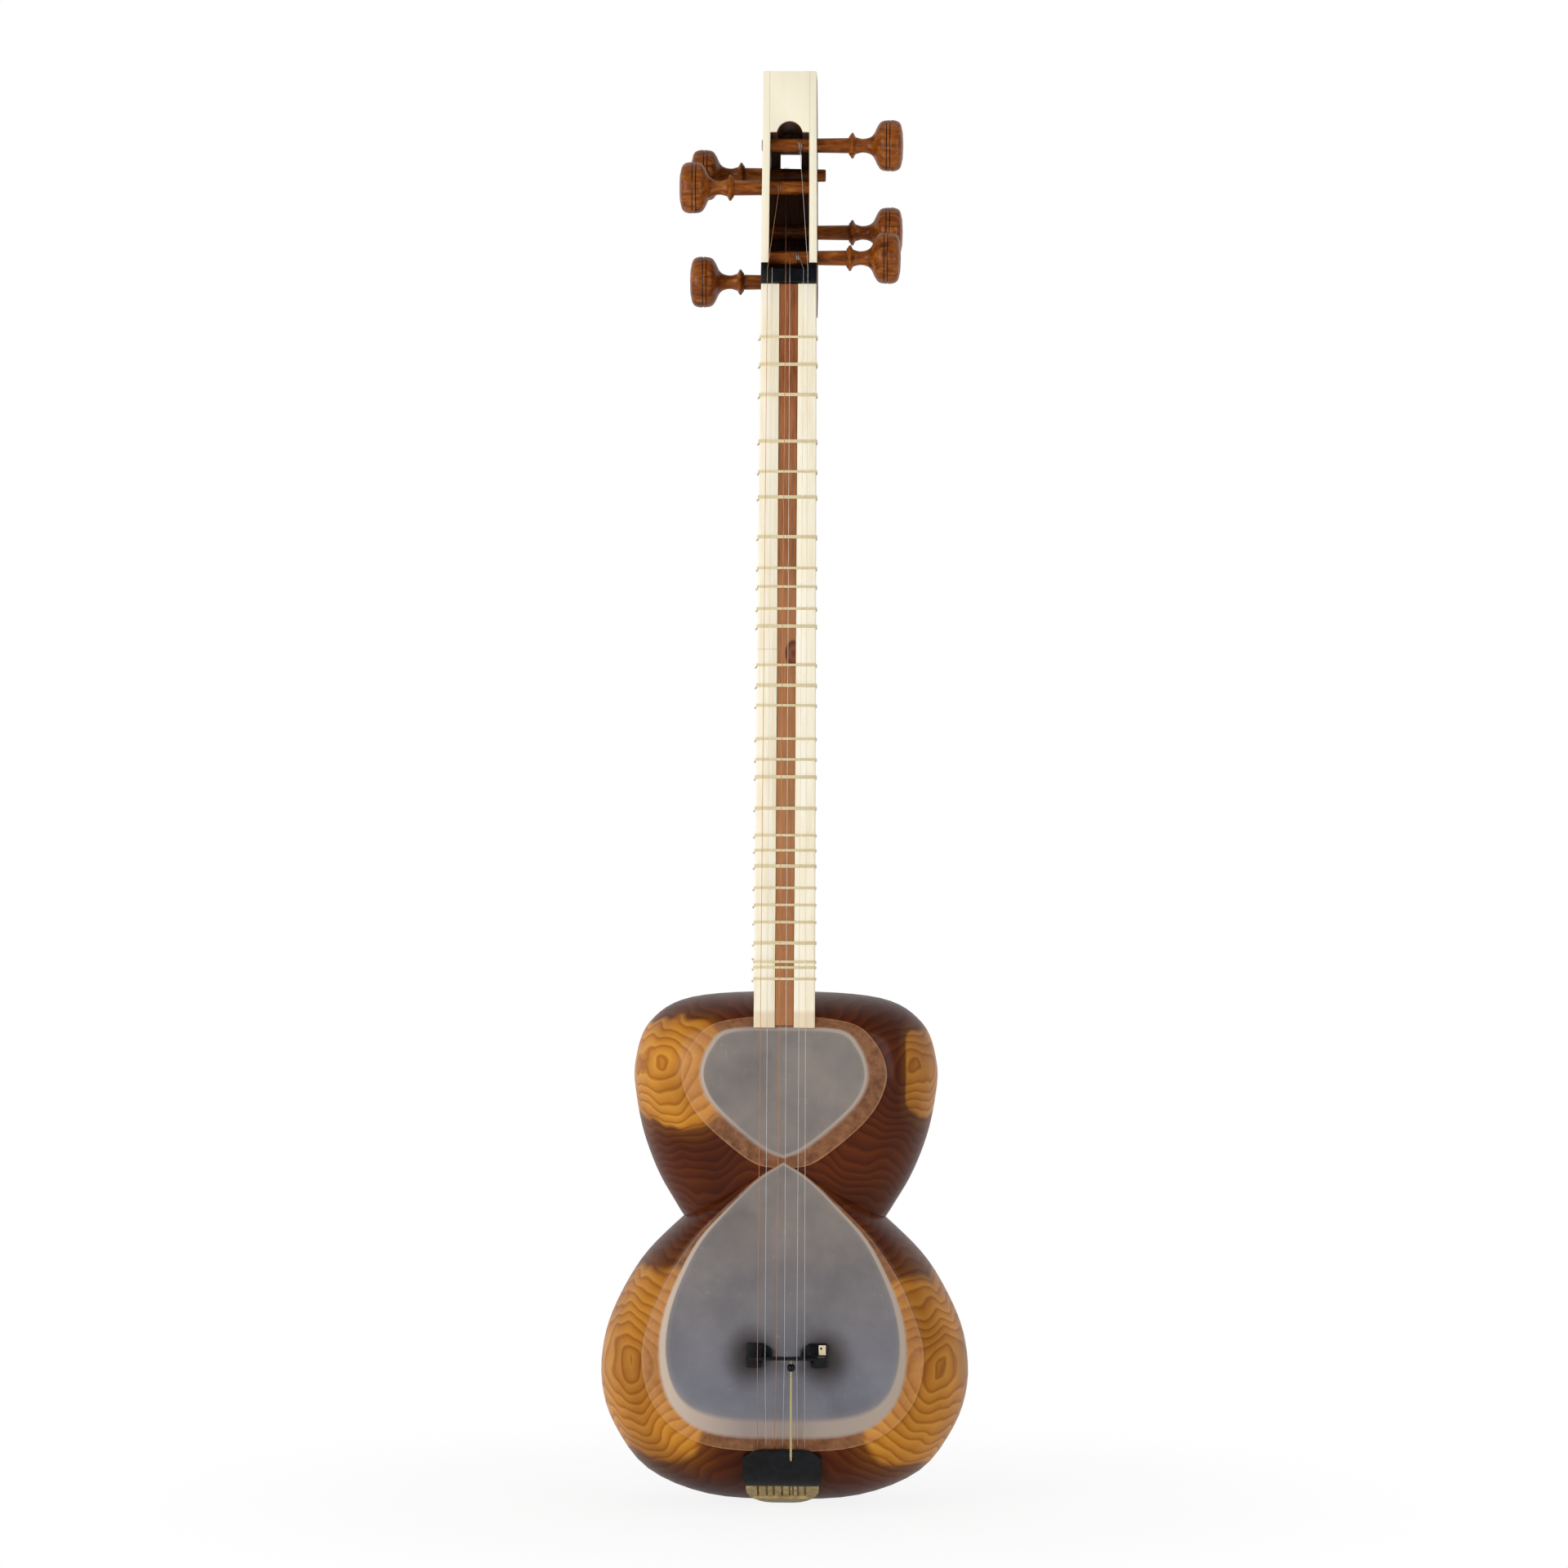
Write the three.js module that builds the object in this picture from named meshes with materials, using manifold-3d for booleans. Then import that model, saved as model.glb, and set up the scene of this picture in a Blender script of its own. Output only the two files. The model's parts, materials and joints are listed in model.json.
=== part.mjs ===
// A Persian tar: a long-necked lute with a double bowl carved from mulberry wood, two skin faces,
// a bone-faced walnut neck with tied gut frets, and six pegs in an open pegbox.
// Millimetres. +Z runs up the neck, the strings face -Y, and x = 0 is the plane of symmetry.
// Depths count back from the plane of the bowls' rims.

import * as THREE from "three";
import { mergeVertices } from "three/addons/utils/BufferGeometryUtils.js";
import Module from "manifold-3d";

const wasm = await Module();
wasm.setup();

// Fits
const seatGap = 0.3;
const pegClearance = 0.45;
const overrun = 2;
const fullTurn = 2 * Math.PI;

// Tail: the tailpiece, and the hand rest that bridges the strings above it
const tailThickness = 2.2;
const tailHalfWidth = 23.8;
const tailLipHeight = 1.4;
const tailLipLength = 2;
const slotFloor = 0.6;
const slotWidth = 1.2;
const padThickness = 2.6;
const padLift = 2;
const padHalfWidth = 25.6;
const padRail = 5;
const stringLift = 1.3;

// Bowls: outlines run from the pointed tip at the waist round to the far end, each point a share of
// the bowl's half width across and of its length up from its low end.
const bowlWall = 7;
const rimThickness = 7;
const glueLine = 0.2;
const backRoundShare = 2;
const backFullnessShare = 0.58;
const largeBowl = {
  base: seatGap + tailThickness,
  length: 227,
  halfWidth: 121.3,
  depth: 160,
  spanSteps: 2,
  poleShare: 0.43,
  openingShares: [
    [0, 0.988], [0.127, 0.944], [0.289, 0.859], [0.434, 0.769], [0.542, 0.657], [0.602, 0.559],
    [0.622, 0.465], [0.599, 0.385], [0.542, 0.326], [0.441, 0.289], [0.269, 0.269], [0, 0.265],
  ],
  landShares: [
    [0, 0.997], [0.137, 0.949], [0.299, 0.865], [0.451, 0.775], [0.565, 0.663], [0.635, 0.562],
    [0.66, 0.463], [0.641, 0.365], [0.581, 0.293], [0.47, 0.24], [0.297, 0.214], [0, 0.209],
  ],
  widestShares: [
    [0, 1], [0.181, 0.967], [0.371, 0.905], [0.603, 0.799], [0.781, 0.696], [0.919, 0.566],
    [0.986, 0.456], [0.997, 0.335], [0.927, 0.214], [0.742, 0.086], [0.412, 0.014], [0, 0],
  ],
  widestDepthShares: [0.26, 0.27, 0.29, 0.33, 0.38, 0.41, 0.42, 0.42, 0.42, 0.41, 0.4, 0.4],
  lapShares: [0.04, 0.06, 0.1, 0.135, 0.2, 0.22, 0.28, 0.26, 0.22, 0.18, 0.18, 0.18],
};
const bowlOverlap = 63;
const smallBowl = {
  base: largeBowl.base + largeBowl.length - bowlOverlap,
  length: 171.3,
  halfWidth: 99.7,
  depth: 126,
  spanSteps: 3,
  poleShare: 0.55,
  openingShares: [
    [0, 0.393], [0.102, 0.419], [0.245, 0.479], [0.42, 0.572], [0.5, 0.643], [0.52, 0.714],
    [0.467, 0.795], [0.35, 0.853], [0, 0.862],
  ],
  landShares: [
    [0, 0.381], [0.108, 0.406], [0.256, 0.468], [0.433, 0.562], [0.521, 0.636], [0.542, 0.714],
    [0.491, 0.802], [0.367, 0.866], [0, 0.875],
  ],
  widestShares: [
    [0, 0], [0.502, 0.047], [0.765, 0.228], [0.918, 0.414], [0.991, 0.595], [0.998, 0.73],
    [0.903, 0.879], [0.622, 0.976], [0, 1],
  ],
  widestDepthShares: [0.35, 0.36, 0.42, 0.48, 0.5, 0.5, 0.48, 0.46, 0.45],
  lapShares: [0.1, 0.145, 0.18, 0.224, 0.257, 0.27, 0.24, 0.24, 0.355],
};
const frontSineShares = [0.383, 0.707, 0.924, 1];
const backScaleShares = [0.95, 0.83, 0.64, 0.42, 0.2];
const innerSineShares = [0.5, 0.866, 1];
const innerScaleShares = [0.85, 0.55];

// Skins
const skinThickness = 0.6;

// Neck: its own frame starts at the body end, with y = 0 on the bone facing's surface.
const neckLength = 485.4;
const neckPocketDepth = 21.4;
const neckEndHeight = smallBowl.base + smallBowl.length - neckPocketDepth;
const neckHalfWidthAtBody = 19.9;
const neckHalfWidthAtNut = 18.1;
const neckDepthAtBody = 36;
const neckDepthAtNut = 33;
const neckSideDepth = 8;
const neckBackSteps = 8;
const boneThickness = 3;
const boneEdge = 0.8;
const stripHalfWidth = 5.8;
const neckTenon = 1.5;

// Strings and what sets their height
const bridgeHeight = 19;
const bridgePlace = 103.2;
const bridgeShift = 2.6;
const actionAtBody = 5;
const nutHeight = 2.5;
const nutFall = 0.3;
const nutLength = 9.6;
const copperGauge = 0.5;
const steelGauge = 0.4;
const stringSides = 6;

// Frets: places as shares of the string length from the nut, and the turns of gut in each
const gut = 0.55;
const lastFretHeight = 31.66;
const fretPlaceShares = [
  0.0501, 0.0759, 0.1043, 0.148, 0.1764, 0.2003, 0.2375, 0.2667, 0.2841, 0.3046, 0.321, 0.3573,
  0.3763, 0.395, 0.4261, 0.4454, 0.4617, 0.4909, 0.516, 0.53, 0.5447, 0.5649, 0.5808, 0.5968,
  0.6161, 0.6336, 0.6389, 0.6495,
];
const fretTurns = [
  3, 4, 4, 4, 3, 4, 4, 3, 3, 3, 4, 3, 4, 3, 3, 3, 4, 4, 3, 3, 4, 3, 3, 3, 4, 3, 3, 3,
];

// Head: heights count up from the nut's lower edge
const headLength = 139.7;
const headHalfWidthAtNut = 18.45;
const headHalfWidthAtTop = 17.35;
const headDepth = 54;
const headTopDepth = 36;
const headWall = 5;
const headShoulder = 22;
const tongueLength = 18;
const tongueDepth = 16;
const slotHalfWidth = 13.3;
const slotTop = 99.7;
const archRadius = 9;
const archDrop = 1.8;
const underNutDepth = 24;
const windowLow = 80;
const windowHigh = 93.4;
const windowHalfWidth = 7.2;
const hornLength = 4;
const hornWidth = 5.2;

// Pegs
const frontRow = 11.5;
const rearRow = 42.5;
const knobRadius = 16.7;
const pegHeadLength = 35.5;
const shaftRadiusAtCollar = 5;
const shaftRadiusAtEnd = 4.1;
const pegSides = 16;
const pegHeadShares = [
  [0, 0.36], [0.05, 0.5], [0.08, 0.5], [0.12, 0.35], [0.25, 0.27], [0.38, 0.32], [0.46, 0.46],
  [0.53, 0.76], [0.6, 0.94], [0.72, 1], [0.86, 0.985], [0.95, 0.86], [1, 0.5], [1, 0],
];
const windingTurns = 3;
const windingSteps = 20;
const windingSides = 5;
const windingSpace = 0.5;
// side, row, the string it holds and, as shares of the slot's top, its height above the nut's lower edge;
// as shares of the head's half width: the shaft left showing, the length past the far wall and where
// its winding sits across the box
const pegShares = [
  {
    name: "peg_right_top", side: 1, height: 0.929, row: frontRow, reach: 1.095, stub: 0,
    string: 5, at: 0.352,
  },
  {
    name: "peg_left_top", side: -1, height: 0.781, row: rearRow, reach: 0.645, stub: 0.26,
    string: 2, at: -0.163,
  },
  {
    name: "peg_left_middle", side: -1, height: 0.647, row: frontRow, reach: 0.986, stub: 0,
    string: 0, at: -0.352,
  },
  {
    name: "peg_right_middle", side: 1, height: 0.4, row: rearRow, reach: 1.095, stub: 0,
    string: 3, at: -0.054,
  },
  {
    name: "peg_right_low", side: 1, height: 0.185, row: frontRow, reach: 1.03, stub: 0,
    string: 4, at: 0.298,
  },
  {
    name: "peg_left_low", side: -1, height: 0.068, row: rearRow, reach: 0.65, stub: 0,
    string: 1, at: -0.461,
  },
];
const pegs = pegShares.map((peg) => ({
  ...peg,
  height: peg.height * slotTop,
  reach: peg.reach * headHalfWidthAtNut,
  stub: peg.stub * headHalfWidthAtNut,
  at: peg.at * headHalfWidthAtNut,
}));
const strings = [
  { gauge: copperGauge, tailShare: -0.67, bridgeShare: -0.61, nutShare: -0.77 },
  { gauge: steelGauge, tailShare: -0.43, bridgeShare: -0.42, nutShare: -0.6 },
  { gauge: copperGauge, tailShare: -0.24, bridgeShare: -0.14, nutShare: -0.11 },
  { gauge: steelGauge, tailShare: -0.01, bridgeShare: 0.06, nutShare: 0.04 },
  { gauge: steelGauge, tailShare: 0.43, bridgeShare: 0.37, nutShare: 0.53 },
  { gauge: steelGauge, tailShare: 0.62, bridgeShare: 0.56, nutShare: 0.69 },
];

// Bridge, and the cord that holds it to the tail
const bridgeHalfWidth = 26;
const beamThickness = 2;
const beamHeight = 6.5;
const legInner = 11;
const legOuter = 18;
const footInner = 9;
const footThickness = 2.2;
const footReach = 9;
// A foot's outline: shares of its width out from its inner end, and of its reach along the strings
const footShares = [
  [0.02, 0.5], [0, 0], [0.34, -0.12], [0.42, -0.75], [0.56, -0.85], [1, -0.8], [1, 0.95], [0.35, 0.95],
];
const gussetLowShare = 0.6;
const gussetHighShare = 0.85;
const tetherPlace = 5.8;
const tetherDiameter = 1.3;
const tetherStrands = 2;
const beadRadius = 2.7;
const beadDrop = 6.5;

// Finishes
const finishes = {
  mulberry: new THREE.MeshStandardMaterial({ color: 0x6b3417, roughness: 0.25, metalness: 0 }),
  skin: new THREE.MeshStandardMaterial({ color: 0x87828a, roughness: 0.55, metalness: 0 }),
  walnut: new THREE.MeshStandardMaterial({ color: 0x8a5a3a, roughness: 0.45, metalness: 0 }),
  bone: new THREE.MeshStandardMaterial({ color: 0xf6ebcf, roughness: 0.35, metalness: 0 }),
  horn: new THREE.MeshStandardMaterial({ color: 0x15161a, roughness: 0.3, metalness: 0 }),
  paleHorn: new THREE.MeshStandardMaterial({ color: 0xc2ab78, roughness: 0.4, metalness: 0 }),
  pegWood: new THREE.MeshStandardMaterial({ color: 0x7c4520, roughness: 0.3, metalness: 0 }),
  gut: new THREE.MeshStandardMaterial({ color: 0xe6d7a5, roughness: 0.5, metalness: 0 }),
  copper: new THREE.MeshStandardMaterial({ color: 0xc98a5e, roughness: 0.3, metalness: 1 }),
  steel: new THREE.MeshStandardMaterial({ color: 0xc9c9c6, roughness: 0.25, metalness: 1 }),
  cord: new THREE.MeshStandardMaterial({ color: 0xc9b073, roughness: 0.7, metalness: 0 }),
};

// Solids from points and triangles

function outward(points, triangles) {
  let volume = 0;
  for (const [a, b, c] of triangles) {
    volume += points[a].dot(new THREE.Vector3().crossVectors(points[b], points[c]));
  }
  return volume > 0 ? triangles : triangles.map(([a, b, c]) => [a, c, b]);
}

function facets(points, triangles) {
  const geometry = new THREE.BufferGeometry();
  const flat = points.flatMap((p) => [p.x, p.y, p.z]);
  geometry.setAttribute("position", new THREE.Float32BufferAttribute(flat, 3));
  geometry.setIndex(outward(points, triangles).flat());
  return geometry;
}

// Rings of equal count joined in turn. Ends close on a middle point, or the last ring meets the first.
function loft(rings, startMiddle, endMiddle) {
  const count = rings[0].length;
  const points = rings.flat();
  const triangles = [];
  const joins = startMiddle ? rings.length - 1 : rings.length;
  for (let i = 0; i < joins; i++) {
    const low = i * count;
    const high = ((i + 1) % rings.length) * count;
    for (let j = 0; j < count; j++) {
      const next = (j + 1) % count;
      triangles.push([low + j, low + next, high + next], [low + j, high + next, high + j]);
    }
  }
  if (startMiddle) {
    const top = (rings.length - 1) * count;
    points.push(startMiddle, endMiddle);
    for (let j = 0; j < count; j++) {
      const next = (j + 1) % count;
      triangles.push([next, j, points.length - 2], [top + j, top + next, points.length - 1]);
    }
  }
  return facets(points, triangles);
}

function middleOf(ring) {
  const sum = ring.reduce((total, p) => total.add(p), new THREE.Vector3());
  return sum.divideScalar(ring.length);
}

function cappedLoft(rings) {
  return loft(rings, middleOf(rings[0]), middleOf(rings[rings.length - 1]));
}

// A round bar along a row of points, mitred at each bend and widened across if it is more than one cord
function bar(points, radius, sides, strands = 1) {
  const ways = points.map((p, i) => {
    const before = points[Math.max(i - 1, 0)];
    const after = points[Math.min(i + 1, points.length - 1)];
    const arrive = p.clone().sub(before).normalize();
    const leave = after.clone().sub(p).normalize();
    return arrive.add(leave).normalize();
  });
  let across = new THREE.Vector3(1, 0, 0);
  const rings = points.map((p, i) => {
    across = across.sub(ways[i].clone().multiplyScalar(across.dot(ways[i]))).normalize();
    const upright = new THREE.Vector3().crossVectors(ways[i], across);
    return Array.from({ length: sides }, (_, j) => {
      const angle = (fullTurn * j) / sides;
      return p.clone().addScaledVector(across, strands * radius * Math.cos(angle))
        .addScaledVector(upright, radius * Math.sin(angle));
    });
  });
  return cappedLoft(rings);
}

function solidOf(geometry) {
  const plain = geometry.clone();
  plain.deleteAttribute("normal");
  plain.deleteAttribute("uv");
  const merged = mergeVertices(plain);
  return new wasm.Manifold(new wasm.Mesh({
    numProp: 3,
    vertProperties: new Float32Array(merged.attributes.position.array),
    triVerts: new Uint32Array(merged.index.array),
  }));
}

function geometryOf(solid) {
  const mesh = solid.getMesh();
  const geometry = new THREE.BufferGeometry();
  geometry.setAttribute("position", new THREE.BufferAttribute(mesh.vertProperties, 3));
  geometry.setIndex(Array.from(mesh.triVerts));
  return geometry;
}

function join(...geometries) {
  return geometryOf(geometries.map(solidOf).reduce((all, one) => all.add(one)));
}

function cut(geometry, ...cutters) {
  return geometryOf(cutters.map(solidOf).reduce((left, one) => left.subtract(one), solidOf(geometry)));
}

function block(xs, ys, zs) {
  const geometry = new THREE.BoxGeometry(xs[1] - xs[0], ys[1] - ys[0], zs[1] - zs[0]);
  return geometry.translate((xs[0] + xs[1]) / 2, (ys[0] + ys[1]) / 2, (zs[0] + zs[1]) / 2);
}

function outlineShape(points) {
  return new THREE.Shape(points.map(([u, v]) => new THREE.Vector2(u, v)));
}

// A shape drawn in x and z, thickened from one depth to another
function frontPlate(shape, near, far) {
  const settings = { depth: far - near, bevelEnabled: false, curveSegments: 8 };
  const geometry = new THREE.ExtrudeGeometry(shape, settings);
  return geometry.rotateX(Math.PI / 2).translate(0, far, 0);
}

// A shape drawn in z and depth, thickened across x
function sidePlate(shape, left, right) {
  const geometry = new THREE.ExtrudeGeometry(shape, { depth: right - left, bevelEnabled: false });
  const swap = new THREE.Matrix4().set(0, 0, 1, 0, 0, 1, 0, 0, 1, 0, 0, 0, 0, 0, 0, 1);
  geometry.applyMatrix4(swap).translate(left, 0, 0);
  const merged = mergeVertices(stripped(geometry));
  const positions = merged.attributes.position;
  const points = Array.from({ length: positions.count }, (_, i) => (
    new THREE.Vector3().fromBufferAttribute(positions, i)
  ));
  const corners = Array.from(merged.index.array);
  const triangles = [];
  for (let i = 0; i < corners.length; i += 3) {
    triangles.push(corners.slice(i, i + 3));
  }
  return facets(points, triangles);
}

function stripped(geometry) {
  geometry.deleteAttribute("normal");
  geometry.deleteAttribute("uv");
  return geometry;
}

function lerp(a, b, t) {
  return a + (b - a) * t;
}

// Bowls

function halfOutline(bowl, shares) {
  const last = shares.length - 1;
  const controls = shares.map(([x, z]) => new THREE.Vector3(x, 0, z));
  controls.push(new THREE.Vector3(-shares[last - 1][0], 0, shares[last - 1][1]));
  const curve = new THREE.CatmullRomCurve3(controls, false, "catmullrom");
  return Array.from({ length: last * bowl.spanSteps + 1 }, (_, i) => {
    const p = curve.getPoint(i / bowl.spanSteps / (last + 1));
    return new THREE.Vector3(Math.max(p.x, 0) * bowl.halfWidth, 0, bowl.base + p.z * bowl.length);
  });
}

// The whole ring: down the right side from the tip, and back up the left
function fullOutline(bowl, shares) {
  const right = halfOutline(bowl, shares);
  right[0].x = 0;
  right[right.length - 1].x = 0;
  const left = right.slice(1, -1).reverse().map((p) => new THREE.Vector3(-p.x, p.y, p.z));
  return [...right, ...left];
}

function alongRing(bowl, shares) {
  const half = (shares.length - 1) * bowl.spanSteps;
  return Array.from({ length: 2 * half }, (_, i) => {
    const place = (i <= half ? i : 2 * half - i) / bowl.spanSteps;
    const below = Math.min(Math.floor(place), shares.length - 2);
    return lerp(shares[below], shares[below + 1], place - below);
  });
}

function bowlForm(bowl) {
  return {
    middle: new THREE.Vector3(0, 0, bowl.base + bowl.poleShare * bowl.length),
    opening: fullOutline(bowl, bowl.openingShares),
    land: fullOutline(bowl, bowl.landShares),
    widest: fullOutline(bowl, bowl.widestShares),
    widestDepth: alongRing(bowl, bowl.widestDepthShares).map((share) => share * bowl.depth),
    lap: alongRing(bowl, bowl.lapShares),
    depth: bowl.depth,
  };
}

function grown(form, ring, amount) {
  return ring.map((p) => {
    const arm = p.clone().sub(form.middle);
    return p.clone().addScaledVector(arm.normalize(), amount);
  });
}

function atDepth(ring, depth) {
  return ring.map((p) => new THREE.Vector3(p.x, depth, p.z));
}

// A quarter ellipse from the edge of the rim out to the widest ring
function frontRing(edge, widest, widestDepth, rimDepth, sine) {
  return edge.map((p, i) => {
    const point = p.clone().lerp(widest[i], sine);
    point.y = rimDepth + (widestDepth[i] - rimDepth) * (1 - Math.sqrt(1 - sine * sine));
    return point;
  });
}

function backRing(form, widest, depth, scale) {
  const rise = (1 - scale ** backRoundShare) ** backFullnessShare;
  return widest.map((p, i) => {
    const point = form.middle.clone().lerp(p, scale);
    point.y = lerp(form.widestDepth[i], depth, rise);
    return point;
  });
}

function bowlOutside(form, growth, frontReach) {
  const land = grown(form, form.land, growth);
  const widest = grown(form, form.widest, growth);
  const rings = [
    ...(frontReach > 0 ? [atDepth(land, -frontReach)] : []),
    land,
    ...frontSineShares.map((sine) => frontRing(land, widest, form.widestDepth, 0, sine)),
    ...backScaleShares.map((scale) => backRing(form, widest, form.depth + growth, scale)),
  ];
  const front = form.middle.clone().setY(-frontReach);
  const pole = form.middle.clone().setY(form.depth + growth);
  return loft(rings, front, pole);
}

function bowlInside(form) {
  const widest = grown(form, form.widest, -bowlWall);
  const depth = form.depth - bowlWall;
  const rings = [
    atDepth(form.opening, -overrun),
    atDepth(form.opening, rimThickness),
    ...innerSineShares.map((sine) => frontRing(form.opening, widest, form.widestDepth, rimThickness, sine)),
    ...innerScaleShares.map((scale) => backRing(form, widest, depth, scale)),
  ];
  return loft(rings, form.middle.clone().setY(-overrun), form.middle.clone().setY(depth));
}

// The skin lies flat across the rim and is glued down over the edge of the bowl.
function skinSheet(form) {
  const firstSine = frontSineShares[0];
  const firstRing = frontRing(form.land, form.widest, form.widestDepth, 0, firstSine);
  const lapEdge = form.land.map((p, i) => p.clone().lerp(firstRing[i], form.lap[i] / firstSine));
  const lifted = (ring, lift) => ring.map((p) => new THREE.Vector3(p.x, p.y - lift, p.z));
  const low = seatGap;
  const high = seatGap + skinThickness;
  const rings = [
    lifted(form.land, low), lifted(lapEdge, low), lifted(lapEdge, high), lifted(form.land, high),
  ];
  return loft(rings, form.middle.clone().setY(-low), form.middle.clone().setY(-high));
}

// Neck frame

const stringRise = (bridgeHeight - boneThickness - actionAtBody) / (neckEndHeight - bridgePlace);
const nutStringDepth = stringRise * (neckEndHeight + neckLength - bridgePlace) - bridgeHeight;
const neckTilt = Math.atan2(nutStringDepth + nutHeight + boneThickness, neckLength);
const neckFrame = new THREE.Group();
neckFrame.position.set(0, -boneThickness, neckEndHeight);
neckFrame.rotation.x = -neckTilt;
neckFrame.updateMatrix();

function fromNeck(x, depth, height) {
  return new THREE.Vector3(x, depth, height).applyMatrix4(neckFrame.matrix);
}

function neckSize(height) {
  const share = height / neckLength;
  return {
    halfWidth: lerp(neckHalfWidthAtBody, neckHalfWidthAtNut, share),
    depth: lerp(neckDepthAtBody, neckDepthAtNut, share),
  };
}

// The round back from the right side to the left, as places with the way they face
function neckBack(size) {
  return Array.from({ length: neckBackSteps + 1 }, (_, i) => {
    const angle = (Math.PI * i) / neckBackSteps;
    return {
      x: size.halfWidth * Math.cos(angle),
      y: neckSideDepth + (size.depth - neckSideDepth) * Math.sin(angle),
      facing: new THREE.Vector2(Math.cos(angle), Math.sin(angle)),
    };
  });
}

function neckWoodRing(height) {
  const size = neckSize(height);
  const back = neckBack(size).map((p) => [p.x, p.y]);
  const section = [
    [-stripHalfWidth, boneThickness], [-stripHalfWidth, 0], [stripHalfWidth, 0],
    [stripHalfWidth, boneThickness], [size.halfWidth, boneThickness], ...back,
    [-size.halfWidth, boneThickness],
  ];
  return section.map(([x, y]) => new THREE.Vector3(x, y, height));
}

function neckPocketRing(height) {
  const size = neckSize(height);
  const side = size.halfWidth + seatGap;
  const back = neckBack(size).map((p) => [p.x + p.facing.x * seatGap, p.y + p.facing.y * seatGap]);
  const section = [[-side, -overrun], [side, -overrun], ...back];
  return section.map(([x, y]) => new THREE.Vector3(x, y, height));
}

function fanned(rings, y) {
  const ends = [rings[0][0].z, rings[rings.length - 1][0].z];
  return loft(rings, new THREE.Vector3(0, y, ends[0]), new THREE.Vector3(0, y, ends[1]));
}

function boneRing(side, height) {
  const outer = side * neckSize(height).halfWidth;
  const inner = side * (stripHalfWidth + seatGap);
  const under = boneThickness - seatGap;
  const bevel = outer - side * boneEdge;
  const section = [[inner, 0], [bevel, 0], [outer, boneEdge], [outer, under], [inner, under]];
  return section.map(([x, y]) => new THREE.Vector3(x, y, height));
}

function makeNeck() {
  const wood = fanned([neckWoodRing(neckTenon), neckWoodRing(neckLength - seatGap)], neckSideDepth);
  const lap = block(
    [-neckHalfWidthAtBody, neckHalfWidthAtBody],
    [tongueDepth - seatGap, neckDepthAtBody],
    [neckLength - tongueLength - seatGap, neckLength + overrun],
  );
  return cut(wood, lap);
}

// Frets

const frettedLength = (neckLength - lastFretHeight) / fretPlaceShares.at(-1);

function fretLoop(height, turns) {
  const size = neckSize(height);
  const corner = (side) => [
    { x: side * (size.halfWidth - boneEdge), y: 0, facing: new THREE.Vector2(side, -2).normalize() },
    { x: side * size.halfWidth, y: boneEdge, facing: new THREE.Vector2(2 * side, -1).normalize() },
  ];
  const path = [...corner(1), ...neckBack(size), ...corner(-1).reverse()];
  const halfBand = (turns * gut) / 2;
  const profile = [[-halfBand, 0], [halfBand, 0], [halfBand, gut * 0.7], [0, gut], [-halfBand, gut * 0.7]];
  const rings = path.map((p) => profile.map(([along, out]) => new THREE.Vector3(
    p.x + p.facing.x * (seatGap + out), p.y + p.facing.y * (seatGap + out), height + along,
  )));
  return loft(rings);
}

// Head

function tapered(geometry) {
  const positions = geometry.attributes.position;
  for (let i = 0; i < positions.count; i++) {
    const share = Math.max(positions.getZ(i), 0) / headLength;
    positions.setX(i, positions.getX(i) * lerp(1, headHalfWidthAtTop / headHalfWidthAtNut, share));
  }
  return geometry;
}

function slotShape(growth) {
  const half = slotHalfWidth + growth;
  const radius = archRadius + growth;
  const centre = slotTop - archDrop;
  const spring = Math.asin(archDrop / radius);
  const shape = new THREE.Shape();
  shape.moveTo(-half, nutLength);
  shape.lineTo(half, nutLength);
  shape.lineTo(half, slotTop);
  shape.absarc(0, centre, radius, spring, Math.PI - spring, false);
  shape.lineTo(-half, slotTop);
  return shape;
}

function pegShaftRadius(peg, fromCollar) {
  const whole = peg.reach + 2 * headHalfWidthAtNut + peg.stub;
  return lerp(shaftRadiusAtCollar, shaftRadiusAtEnd, fromCollar / whole);
}

// A turned piece on the peg's line: profile points are distance out from the middle of the box and radius
function turned(peg, profile, growth) {
  const points = profile.map(([out, radius]) => new THREE.Vector2(radius > 0 ? radius + growth : 0, out));
  const geometry = new THREE.LatheGeometry(points, pegSides);
  return geometry.rotateZ(-peg.side * Math.PI / 2).translate(0, peg.row, peg.height);
}

function shaftProfile(peg) {
  const collar = headHalfWidthAtNut + peg.reach;
  const end = -headHalfWidthAtNut - peg.stub;
  const endRadius = pegShaftRadius(peg, collar - end);
  return [[end, 0], [end, endRadius], [collar, shaftRadiusAtCollar]];
}

function makePeg(peg) {
  const collar = headHalfWidthAtNut + peg.reach;
  const head = pegHeadShares.map(([out, radius]) => [collar + out * pegHeadLength, radius * knobRadius]);
  return turned(peg, [...shaftProfile(peg), ...head], 0);
}

function pegHole(peg) {
  const reach = headHalfWidthAtNut + overrun;
  const collar = headHalfWidthAtNut + peg.reach;
  const profile = [
    [-reach, 0], [-reach, pegShaftRadius(peg, collar + reach)],
    [reach, pegShaftRadius(peg, collar - reach)], [reach, 0],
  ];
  return turned(peg, profile, pegClearance);
}

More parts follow.
